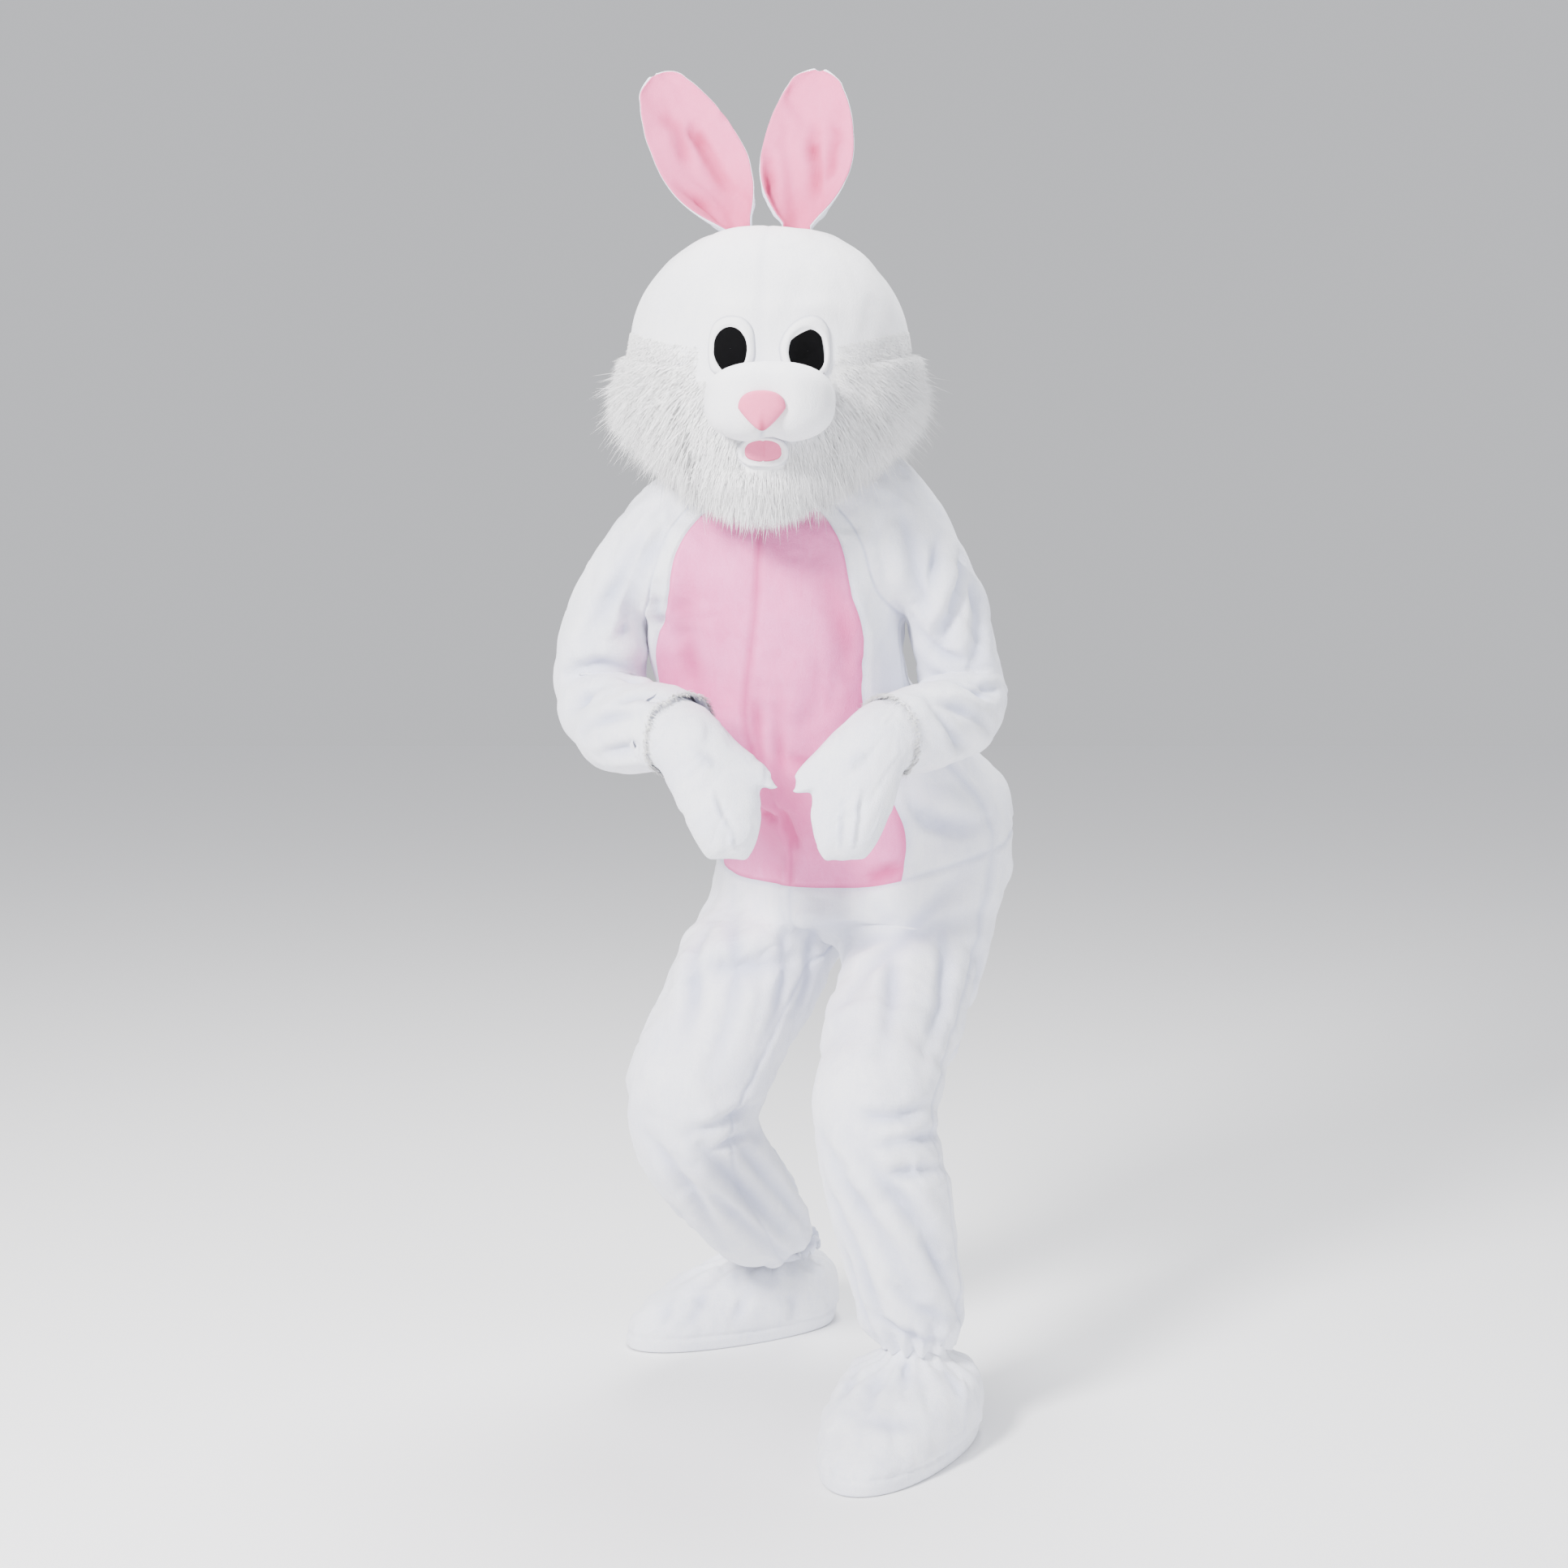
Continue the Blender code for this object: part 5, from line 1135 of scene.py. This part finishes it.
def headAngle(points):
    # Degrees round from the front, 0 to 180 on both sides
    offset = points - np.array([*head["centre"], 0])
    return np.degrees(np.arctan2(np.abs(offset @ headLeft), offset @ headFront))


def furLine(points):
    # Height of the line between crown and long pile: z - drop * cos(a)^2 of the fourth ring
    z, drop = headRings[head["furLine"]][0], headRings[head["furLine"]][4]
    return z - drop * np.clip(np.cos(np.radians(headAngle(points))), 0, 1) ** 2


def hairMoves(panel, points, normals, rng):
    # Along the cloth away from the middle of the face and down, lifted off it by an angle that grows
    # towards the side of the head
    angle = headAngle(points)
    above = points[:, 2] - furLine(points)
    toSide = ease(angle, 22, 78)
    away = points[:, [0, 2]] - np.array(pile["from"])
    flow = np.stack([away[:, 0], 0 * angle, away[:, 1] * 0.9], axis=1)
    flow = unit(flow) + np.array([0, 0, -pile["fall"]])
    flow = unit(flow + np.array([0, 0.25, 0]) * toSide[:, None])
    # At the sides the hairs fan out
    fan = rng.normal(size=len(points)) * (0.12 + 0.30 * toSide)
    flow = unit(flow - normals * np.sum(flow * normals, axis=1, keepdims=True))
    flow = flow * np.cos(fan)[:, None] + np.cross(normals, flow) * np.sin(fan)[:, None]
    low, high = np.radians(pile["lift"])
    rise = low + (high - low) * toSide + rng.normal(size=len(points)) * 0.12
    if panel == "nape":
        length = pile["nape"] + (pile["cheek"] - pile["nape"]) * ease(-angle, -pile["end"], -98) * 0.8
        rise = rise * 0.8
    elif panel.startswith("crown"):
        length = pile["crown"] * (1.4 - ease(above, -0.03, 0.03))
        length = length * (1 - 0.8 * ease(angle, 60, pile["bandEnd"]))
        rise = rise * 0.6
    else:
        # Shorter beside the muzzle, under the crown and towards the nape
        soft = 0.55 + 0.45 * ease(np.hypot(away[:, 0], away[:, 1]), 0.07, 0.13)
        top = 0.42 + 0.58 * ease(-above, 0.0, 0.045)
        long = pile["chin" if panel == "chin_pile" else "cheek"]
        length = long * soft * top * (1 - 0.45 * ease(angle, 112, 150))
    direction = flow * np.cos(rise)[:, None] + normals * np.sin(rise)[:, None]
    return direction * length[:, None]


def hairs(name, roots, normals, moves, lockCount, seed, material):
    # Each hair: (1-t)^2 r + 2 t (1-t) b + t^2 e on a three-sided section that tapers to a point. Its end is
    # drawn towards the end of the nearest lock and sags a little.
    rng = np.random.default_rng(seed)
    count = len(roots)
    length = np.linalg.norm(moves, axis=1, keepdims=True)
    stray = rng.normal(size=(count, 3)) * pile["stray"] * length
    often, longer, looser = pile["wisps"]
    wisp = (rng.random((count, 1)) < often) * np.clip(length / 0.03, 0, 1)
    ends = roots + moves * (rng.uniform(0.58, 1.02, (count, 1)) + longer * wisp) + stray * (1 + looser * wisp)
    leaders = rng.choice(count, lockCount, replace=False)
    nearest = np.concatenate([
        np.linalg.norm(part[:, None] - roots[leaders][None], axis=2).argmin(axis=1)
        for part in np.array_split(roots, 24)
    ])
    lockEnds = roots[leaders] + moves[leaders] * rng.uniform(0.85, 1.10, (lockCount, 1)) + stray[leaders]
    pull = rng.uniform(0.1, 0.5, (count, 1)) * np.clip(length / 0.03, 0, 1) * (1 - wisp)
    ends = ends + (lockEnds[nearest] - ends) * pull
    sag = np.array([0, 0, -pile["sag"]]) * length
    bend = roots + (ends - roots) * 0.5 + normals * length * 0.10 - sag * 0.35
    ends = ends + sag * 0.65
    t = np.array([0.0, 0.5, 1.0])[:, None, None]
    spine = (1 - t) ** 2 * (roots - normals * 0.002) + 2 * t * (1 - t) * bend + t**2 * ends
    side = unit(np.cross(ends - roots, rng.normal(size=(count, 3))))
    other = unit(np.cross(ends - roots, side))
    thick = pile["root"] * rng.uniform(0.7, 1.2, (count, 1))
    ring = [side * math.cos(q) + other * math.sin(q) for q in (0, 2 * math.pi / 3, 4 * math.pi / 3)]
    points = np.stack([
        *(spine[0] + arm * thick for arm in ring), *(spine[1] + arm * thick * 0.72 for arm in ring), spine[2],
    ], axis=1)
    pattern = np.array([
        [0, 1, 4], [0, 4, 3], [1, 2, 5], [1, 5, 4], [2, 0, 3], [2, 3, 5], [3, 4, 6], [4, 5, 6], [5, 3, 6],
    ])
    faces = (np.arange(count)[:, None, None] * 7 + pattern).reshape(-1, 3)
    # The cloth's own normals light the hair as one soft mass
    mass = unit(normals + np.array([0, 0, 0.15]))
    return newMesh(name, points.reshape(-1, 3), faces, material, np.repeat(mass, 7, axis=0))


for panel, count, lockCount, seed in pile["pieces"]:
    rng = np.random.default_rng(seed)
    onCrown = panel.startswith("crown")
    roots, looks = headCloth.scatter([panel], count * (14 if onCrown else 1), rng)
    if onCrown:
        # The face round the muzzle, and a band above the line where the long pile starts
        angle = headAngle(roots)
        top = np.where(angle > 24, furLine(roots) + 0.030, 1.350)
        kept = (roots[:, 2] < top) & (angle < pile["bandEnd"])
        for x, z, wide, high in pile["bare"]:
            kept &= (((roots[:, 0] - x) / wide) ** 2 + ((roots[:, 2] - z) / high) ** 2 > 1) | (angle > 60)
        roots, looks = roots[kept][:count], looks[kept][:count]
    moves = hairMoves(panel, roots, looks, rng)
    obj = hairs(f"{panel}_hair", roots, looks, moves, min(lockCount, len(roots)), seed, whiteFur)
    dress(obj, panel)
print("long pile made")

# The nap at the end of each sleeve stands over the mitten
cuffs = {"hairs": 2900, "locks": 300, "length": 0.012, "outwards": -0.05, "band": 0.007, "stray": 0.25}
for number, side in enumerate(sides):
    rng = np.random.default_rng(81 + number)
    end, before = (np.array(sleeveRings[side][k][:3]) for k in (-1, -2))
    along = unit(end - before)
    rim = suitRims[f"sleeve_{side}"]
    count = cuffs["hairs"]
    pick = rng.integers(0, len(rim[0]), count)
    share = rng.random((count, 1))
    inwards = along * rng.uniform(0, cuffs["band"], (count, 1))
    roots = rim[0][pick] * share + rim[1][pick] * (1 - share) - inwards
    looks = unit(roots - end - along * ((roots - end) @ along)[:, None])
    stray = rng.normal(size=roots.shape) * cuffs["stray"]
    moves = (along + looks * cuffs["outwards"] + stray) * cuffs["length"]
    obj = hairs(f"sleeve_{side}_nap", roots, looks, moves, cuffs["locks"], 83 + number, whiteFur)
    dress(obj, f"sleeve_{side}")
print("cuffs made")

# Face
face = {
    "muzzle": {
        "x": -0.017, "z": 1.321, "halfWidth": 0.078, "halfHeight": 0.048, "front": -0.297, "gap": 0.0045,
        "points": 110,
    },
    "nose": {
        "x": -0.026, "z": 1.313, "halfWidth": 0.028, "halfHeight": 0.021, "reach": 0.012, "points": 72,
    },
    "mouth": {"x": -0.025, "z": 1.263, "halfWidth": 0.030, "halfHeight": 0.017},
    "tongue": {"x": -0.025, "z": 1.265, "halfWidth": 0.0235, "halfHeight": 0.013},
    # x and z round each eye, from its outer side anticlockwise as seen from the front
    "eyes": {
        "left": {
            "rim": ((0.056, 1.389), (0.054, 1.408), (0.046, 1.421), (0.034, 1.426), (0.019, 1.422),
                    (0.006, 1.412), (-0.003, 1.398), (-0.006, 1.382), (0.003, 1.356), (0.028, 1.347),
                    (0.047, 1.352), (0.055, 1.367)),
            "mesh": ((0.047, 1.375), (0.045, 1.395), (0.041, 1.407), (0.033, 1.409), (0.022, 1.405),
                     (0.010, 1.397), (0.004, 1.387), (0.002, 1.366), (0.016, 1.358), (0.033, 1.353),
                     (0.046, 1.354)),
        },
        "right": {
            "rim": ((-0.035, 1.394), (-0.038, 1.410), (-0.047, 1.421), (-0.059, 1.425), (-0.072, 1.424),
                    (-0.084, 1.416), (-0.090, 1.399), (-0.091, 1.375), (-0.086, 1.358), (-0.069, 1.353),
                    (-0.050, 1.355), (-0.036, 1.371)),
            "mesh": ((-0.043, 1.384), (-0.043, 1.399), (-0.050, 1.409), (-0.062, 1.412), (-0.073, 1.410),
                     (-0.081, 1.401), (-0.083, 1.384), (-0.083, 1.366), (-0.077, 1.358), (-0.060, 1.357),
                     (-0.045, 1.360)),
        },
    },
}


def seatOn(x, z):
    # Where lines from the front meet the head, and the way its cloth looks there
    starts = [Vector((p, -1.0, q)) for p, q in zip(np.ravel(x), np.ravel(z))]
    hits = [headTree.ray_cast(start, Vector((0, 1, 0)))[:2] for start in starts]
    place = np.array([hit[0] for hit in hits]).reshape(*np.shape(x), 3)
    look = np.array([hit[1] for hit in hits]).reshape(*np.shape(x), 3)
    return place, look


def rounded(angle, power):
    # |cos a|^p and |sin a|^p with their signs: an oval that tends to a box as p falls
    c, s = np.cos(angle), np.sin(angle)
    return np.sign(c) * np.abs(c) ** power, np.sign(s) * np.abs(s) ** power


def discFaces(rings, count):
    # Quads between rings of points; the innermost ring is so small that it needs no lid
    i = np.arange(count)
    j = (i + 1) % count
    k = np.arange(rings - 1)[:, None] * count
    return np.stack([k + i, k + count + i, k + count + j, k + j], axis=2).reshape(-1, 4)


def patch(name, outline, height, material, rings=22, count=88, edge=0.0):
    # Rings share s of the outline about its middle, laid on the head and raised by height(s, angle, x, z);
    # the last ring drops to the cloth. Shade is painted on the outer rings, as much as edge.
    angle = np.linspace(0, 2 * math.pi, count, endpoint=False)
    edgeX, edgeZ = outline(angle)
    share = np.concatenate([[0.004], np.linspace(0.06, 1, rings)])[:, None]
    x = edgeX.mean() + (edgeX - edgeX.mean()) * share
    z = edgeZ.mean() + (edgeZ - edgeZ.mean()) * share
    place, look = seatOn(x, z)
    top = place + look * height(np.broadcast_to(share, x.shape), angle[None], x, z)[..., None]
    foot = place[-1:] + look[-1:] * 0.0002
    points = np.concatenate([top, foot]).reshape(-1, 3)
    obj = newMesh(name, points, discFaces(rings + 2, count)[:, ::-1], material)
    return shadeMesh(obj, edge * np.repeat(ease(np.append(share, 1.0), 0.90, 1.0), count))


def loopThrough(knots, count):
    # A closed Catmull-Rom curve through the knots, from the one nearest to the right, anticlockwise
    knots = np.array(knots, float)
    t = np.linspace(0, len(knots), count, endpoint=False)
    k = t.astype(int)
    u = (t - k)[:, None]
    a, b, d, e = (knots[(k + m) % len(knots)] for m in (-1, 0, 1, 2))
    made = 0.5 * (2 * b + (d - a) * u + (2 * a - 5 * b + 4 * d - e) * u**2 + (3 * b - a - 3 * d + e) * u**3)
    return made[:, 0], made[:, 1]


for side, shape in face["eyes"].items():
    rimX, rimZ = loopThrough(shape["rim"], 88)
    meshX, meshZ = loopThrough(shape["mesh"], 88)
    middleX, middleZ = meshX.mean(), meshZ.mean()
    wide, high = np.ptp(meshX) / 2, np.ptp(meshZ) / 2

    def padHeight(share, angle, px, pz):
        # A soft pad, sunk where the mesh lies
        r = np.sqrt(((px - middleX) / wide) ** 2 + ((pz - middleZ) / high) ** 2)
        return 0.0010 + 0.0066 * (1 - share**6) - 0.0044 * (1 - ease(r, 0.85, 1.12))

    # The pad's rim takes painted shade where it meets the head
    pad = patch(f"eye_white_{side}_felt", lambda angle: (rimX, rimZ), padHeight, whiteFelt, edge=0.8)
    cut = (1.1 * np.ptp(rimX), 1.1 * np.ptp(rimZ), 0.9 * np.ptp(rimX) * np.ptp(rimZ))
    dress(pad, f"eye_white_{side}")

    def meshHeight(share, angle, px, pz):
        return 0.0040 + 0.0006 * (1 - share**6)

    mesh = patch(f"eye_mesh_{side}_cloth", lambda angle: (meshX, meshZ), meshHeight, eyeMesh)
    dress(mesh, f"eye_mesh_{side}")

for name, material, lift, slotName, dome in (
    ("mouth", whiteFelt, 0.0024, "white_felt", 0.0002), ("tongue", facePink, 0.0036, "pink_felt", 0.0008),
):
    shape = face[name]

    def halfRound(angle):
        c, s = rounded(angle, 0.85)
        high = shape["halfHeight"] * np.where(s > 0, 1.1 * s, s)
        return shape["x"] + shape["halfWidth"] * c, shape["z"] + high

    def feltHeight(share, angle, px, pz):
        # The tongue has a sewn line down it, the mouth a raised lip round it
        line = 0.0012 * bell((px - shape["x"]) / 0.0015) * (name == "tongue")
        lip = 0.0048 * bell((share - 0.88) / 0.13) * (name == "mouth")
        return lift + dome * (1 - share**4) - line + lip

    # Painted shade towards the rim, 0.7 at most
    obj = patch(f"{name}_felt", halfRound, feltHeight, material, 16, 72, 0.7)
    area = (5.6 if name == "mouth" else 4.6) * shape["halfWidth"] * shape["halfHeight"]
    cut = (2.7 * shape["halfWidth"], 2.6 * shape["halfHeight"], area)
    dress(obj, name)


def cushion(name, loops, material):
    # A closed form through loops of points, with a small closing ring at each end
    loops = np.asarray(loops)
    tips = [loop.mean(axis=0) + (loop - loop.mean(axis=0)) * 0.02 for loop in (loops[0], loops[-1])]
    loops = np.concatenate([tips[:1], loops, tips[1:]])
    return newMesh(name, loops.reshape(-1, 3), discFaces(len(loops), loops.shape[1])[:, ::-1], material)


def muzzleLoops():
    # Loops share s of the outline at reach q of the way out, on a rounded profile; two lobes, and a cleft
    # down the middle under the nose
    shape = face["muzzle"]
    angle = np.linspace(0, 2 * math.pi, shape["points"], endpoint=False)
    c, s = rounded(angle, 0.8)
    notch = np.where(s < 0, 0.16 * bell(c / 0.22), 0.0)

    def outline(share):
        high = shape["halfHeight"] * share * s * (1 - notch)
        return shape["x"] + shape["halfWidth"] * share * c, shape["z"] + high

    base, look = seatOn(*outline(0.90))
    base = base + look * shape["gap"]
    middle = base.mean(axis=0)
    inner = middle + (base - middle) * 0.5
    innerSeat, innerLook = seatOn(inner[:, 0], inner[:, 2])
    loops = [innerSeat + innerLook * shape["gap"], base]
    knots = np.array([
        (0.90, 0.0), (0.99, 0.22), (1.0, 0.45), (0.92, 0.68), (0.74, 0.86), (0.46, 0.97), (0.15, 1.0),
    ])
    for t in np.linspace(0, 6, 40)[1:]:
        # Catmull-Rom between the knots
        k = min(int(t), 5)
        u = t - k
        a, b, d, e = (knots[np.clip(k + m, 0, 6)] for m in (-1, 0, 1, 2))
        square, cube = 2 * a - 5 * b + 4 * d - e, 3 * b - a - 3 * d + e
        share, reach = 0.5 * (2 * b + (d - a) * u + square * u**2 + cube * u**3)
        x, z = outline(share)
        y = base[:, 1] + (shape["front"] - base[:, 1]) * reach
        across = (x - shape["x"]) / shape["halfWidth"]
        lobes = 0.0035 * (bell((np.abs(across) - 0.42) / 0.3) - 0.4) * reach
        below = ease(shape["z"] + 0.004 - z, 0, 0.012)
        cleft = 0.0120 * bell((x - face["nose"]["x"]) / 0.0038) * below * reach
        loops.append(np.stack([x, y - lobes + cleft, z], axis=1))
    return loops


muzzleObj = cushion("muzzle_cushion", muzzleLoops(), headPlush)
# Shadow in the nap where the muzzle is sewn on, and down the cleft
nap = np.array([v.co[:] for v in muzzleObj.data.vertices]) + carriedAt
ring = np.arange(len(nap)) // face["muzzle"]["points"]
cleftLine = bell((nap[:, 0] - face["nose"]["x"]) / 0.0026) * (nap[:, 2] < face["nose"]["z"] - 0.012)
shadeMesh(muzzleObj, np.maximum(0.75 * bell(ring / 9), 0.9 * cleftLine))
dress(muzzleObj, "muzzle")


def noseLoops():
    # A rounded triangle, wide at the top; each loop share s of it at reach q
    shape = face["nose"]
    angle = np.linspace(0, 2 * math.pi, shape["points"], endpoint=False)
    c, s = rounded(angle, 0.85)
    narrow = 1 - 0.62 * np.maximum(0, -s)
    loops = []
    for q in np.linspace(0, 1, 16):
        share = (1 - q**3) ** 0.5 if q < 1 else 0.05
        x = shape["x"] + shape["halfWidth"] * share * c * narrow
        z = shape["z"] + shape["halfHeight"] * share * np.where(s > 0, s, 1.25 * s)
        y = np.full(len(x), face["muzzle"]["front"] - 0.0003 - shape["reach"] * q)
        loops.append(np.stack([x, y, z], axis=1))
    return loops


noseObj = cushion("nose_cushion", noseLoops(), facePink)
tip = np.array([v.co[:] for v in noseObj.data.vertices]) + carriedAt
# Painted shade round the base, where the nose meets the muzzle, and darker down the middle of its lower half
low = 1 - ease(tip[:, 2], face["nose"]["z"] - 0.024, face["nose"]["z"] - 0.004)
ring = np.arange(len(tip)) // face["nose"]["points"]
line = 0.8 * low * bell((tip[:, 0] - face["nose"]["x"]) / 0.004)
shadeMesh(noseObj, np.maximum(0.7 * bell(ring / 3), line))
dress(noseObj, "nose")
print("face made")

# Ears
ear = {
    "sheet": 0.004,
    "rows": 64,
    "columns": 35,
    "left": {
        "root": (0.018, -0.020, 1.548), "tip": (0.044, 0.000, 1.741), "size": 1.06, "look": (-0.22, -0.97, 0.0),
    },
    "right": {
        "root": (-0.058, -0.020, 1.548), "tip": (-0.164, 0.000, 1.735), "size": 1.0, "look": (0.14, -0.99, 0.0),
    },
    "cup": 0.030,
    "cut": (0.125, 0.215, 0.022),
}
# Share of the length from the root, half width
earOutline = (
    (0, 0.017), (0.10, 0.034), (0.25, 0.050), (0.42, 0.055), (0.60, 0.052), (0.76, 0.044), (0.88, 0.034),
    (0.96, 0.022), (1.0, 0.004),
)
earFolds = {
    "right": (
        ((-0.118, -0.03, 1.675), (-0.098, -0.03, 1.640), (-0.064, -0.03, 1.575), 8, 7),
        ((-0.126, -0.03, 1.600), (-0.098, -0.03, 1.585), (-0.068, -0.03, 1.568), 6, 5),
        ((-0.150, -0.03, 1.70), (-0.130, -0.03, 1.665), (-0.115, -0.03, 1.62), 9, 3),
    ),
    "left": (
        ((0.030, -0.03, 1.672), (0.034, -0.03, 1.630), (0.030, -0.03, 1.575), 8, 7),
        ((-0.020, -0.03, 1.645), (-0.008, -0.03, 1.61), (0.008, -0.03, 1.575), 7, 6),
        ((0.060, -0.03, 1.69), (0.056, -0.03, 1.64), (0.046, -0.03, 1.60), 9, 3),
    ),
}


def earGrid(side):
    # root + up L t + side w(t) u + look c(t) (u^2 - 0.4), with the sides folding forwards near the root
    shape = ear[side]
    root, tip = np.array(shape["root"]), np.array(shape["tip"])
    up = unit(tip - root)
    look = unit(np.array(shape["look"]) - up * (np.array(shape["look"]) @ up))
    across = np.cross(up, look)
    knots = np.array(earOutline)
    t = (1 - np.cos(np.linspace(0, math.pi, ear["rows"]))) / 2
    # The outline's knots are joined by a smooth cubic through their slopes
    slope = np.gradient(knots[:, 1], knots[:, 0])
    k = np.clip(np.searchsorted(knots[:, 0], t, side="right") - 1, 0, len(knots) - 2)
    step = knots[k + 1, 0] - knots[k, 0]
    q = (t - knots[k, 0]) / step
    width = ((1 + 2 * q) * (1 - q) ** 2 * knots[k, 1] + q * (1 - q) ** 2 * step * slope[k]
             + q * q * (3 - 2 * q) * knots[k + 1, 1] + q * q * (q - 1) * step * slope[k + 1])
    width = (np.maximum(width, 0.003) * shape["size"])[:, None]
    u = np.linspace(-1, 1, ear["columns"])[None]
    folded = bell(t / 0.35)[:, None]
    forward = ear["cup"] * (0.3 + 0.7 * folded) * (u * u - 0.4) * np.minimum(1, width / 0.03)
    offset = (width * u * (1 - 0.08 * folded * u * u))[..., None] * across + forward[..., None] * look
    return root + up * (np.linalg.norm(tip - root) * t)[:, None, None] + offset


def gridSurface(points, name):
    rows, columns = points.shape[:2]
    index = np.arange(rows * columns).reshape(rows, columns)
    faces = np.stack([index[:-1, :-1], index[:-1, 1:], index[1:, 1:], index[1:, :-1]], axis=2).reshape(-1, 4)
    return Surface(points.reshape(-1, 3), faces.astype(np.int32), np.zeros(len(faces), np.int32), [name])


def sheetOf(name, surface, shape, near, far, material):
    # A closed sheet between two depths behind a grid surface, thinner towards its rim, with the grid's painted
    # shade on both sides
    u, v = np.linspace(-1, 1, shape[1])[None], np.linspace(0, 1, shape[0])[:, None]
    thin = 1 - 0.66 * np.maximum(u**8, v**24)
    normals = surface.normals() * thin.reshape(-1, 1)
    front, back = surface.points - normals * near, surface.points - normals * far
    for layer in (front, back):
        row = layer[: shape[1]]
        for point in row:
            seat = headTree.ray_cast(Vector((point[0], point[1], 2)), Vector((0, 0, -1)))[0]
            point[2] = seat[2] + 0.0008
    index = np.arange(shape[0] * shape[1]).reshape(shape)
    rim = np.concatenate([index[0], index[1:, -1], index[-1, -2::-1], index[-2:0:-1, 0]])
    count, after = len(front), np.roll(rim, -1)
    faces = np.concatenate([
        surface.faces, surface.faces[:, ::-1] + count, np.stack([after, rim, rim + count, after + count], axis=1),
    ])
    return shadeMesh(newMesh(name, np.concatenate([front, back]), faces, material), np.tile(surface.shade, 2))


for side in sides:
    grid = earGrid(side)
    surface = gridSurface(grid, "ear")
    surface.push(0.0016 * ripple(surface.points, 0.07, 71) * ease(surface.points[:, 2], 1.57, 1.64))
    surface.crease(earFolds[side], rise=0.4, depthScale=1.7)
    # Painted shade: a little less in the creases, and more at the root where the ear meets the head
    surface.shade = np.maximum(surface.shade * 0.8, 0.35 * bell((surface.points[:, 2] - 1.555) / 0.05))
    for part, near, far, material, slotName in (
        ("ear_front", 0.0, ear["sheet"], earPink, "ear_satin"),
        ("ear_back", ear["sheet"] + 0.0003, 2 * ear["sheet"], whitePlush, "white_plush"),
    ):
        node = f"{part}_{side}"
        obj = sheetOf(f"{node}_cloth", surface, grid.shape[:2], near, far, material)
        dress(obj, node)
print("ears made")

# Stage, light and camera
stage = {
    "floor": (0.92, 0.92, 0.93),
    "half": 9.0,
    "lights": (
        ("keyLight", (-1.9, -2.6, 1.7), 0.9, 390, (1.0, 0.98, 0.97)),
        ("fillLight", (2.4, -2.2, 0.6), 2.0, 60, (0.93, 0.95, 1.0)),
        ("topLight", (0.2, 0.6, 2.4), 1.2, 140, (1.0, 1.0, 1.0)),
    ),
    "world": ((0.95, 0.96, 1.0), 0.74),
    "camera": {"place": (0.015, -3.61, 0.04), "tilt": 83.6, "lens": 64.1},
}
floorMesh = bpy.data.meshes.new("floor")
corners = ((-1, -1), (1, -1), (1, 1), (-1, 1))
half = stage["half"]
floorMesh.from_pydata([(x * half, y * half, -carriedAt[2]) for x, y in corners], [], [(0, 1, 2, 3)])
floorObj = bpy.data.objects.new("floor", floorMesh)
floorMesh.materials.append(Finish("floorPaint", stage["floor"], 0.9).material)
bpy.context.scene.collection.objects.link(floorObj)
for name, place, size, power, colour in stage["lights"]:
    light = bpy.data.lights.new(name, "AREA")
    light.shape = "DISK"
    light.size, light.energy, light.color = size, power, colour
    obj = bpy.data.objects.new(name, light)
    obj.location = place
    obj.rotation_euler = (Vector((0, 0, -0.25)) - Vector(place)).to_track_quat("-Z", "Y").to_euler()
    bpy.context.scene.collection.objects.link(obj)
world = bpy.data.worlds.new("studio")
world.use_nodes = True
sky = world.node_tree.nodes["Background"]
sky.inputs["Color"].default_value = (*stage["world"][0], 1)
sky.inputs["Strength"].default_value = stage["world"][1]
bpy.context.scene.world = world
cameraData = bpy.data.cameras.new("camera")
cameraData.lens = stage["camera"]["lens"]
cameraData.sensor_width = 36
camera = bpy.data.objects.new("camera", cameraData)
camera.location = stage["camera"]["place"]
camera.rotation_euler = (math.radians(stage["camera"]["tilt"]), 0, 0)
bpy.context.scene.collection.objects.link(camera)
bpy.context.scene.camera = camera
print("stage, light and camera set")
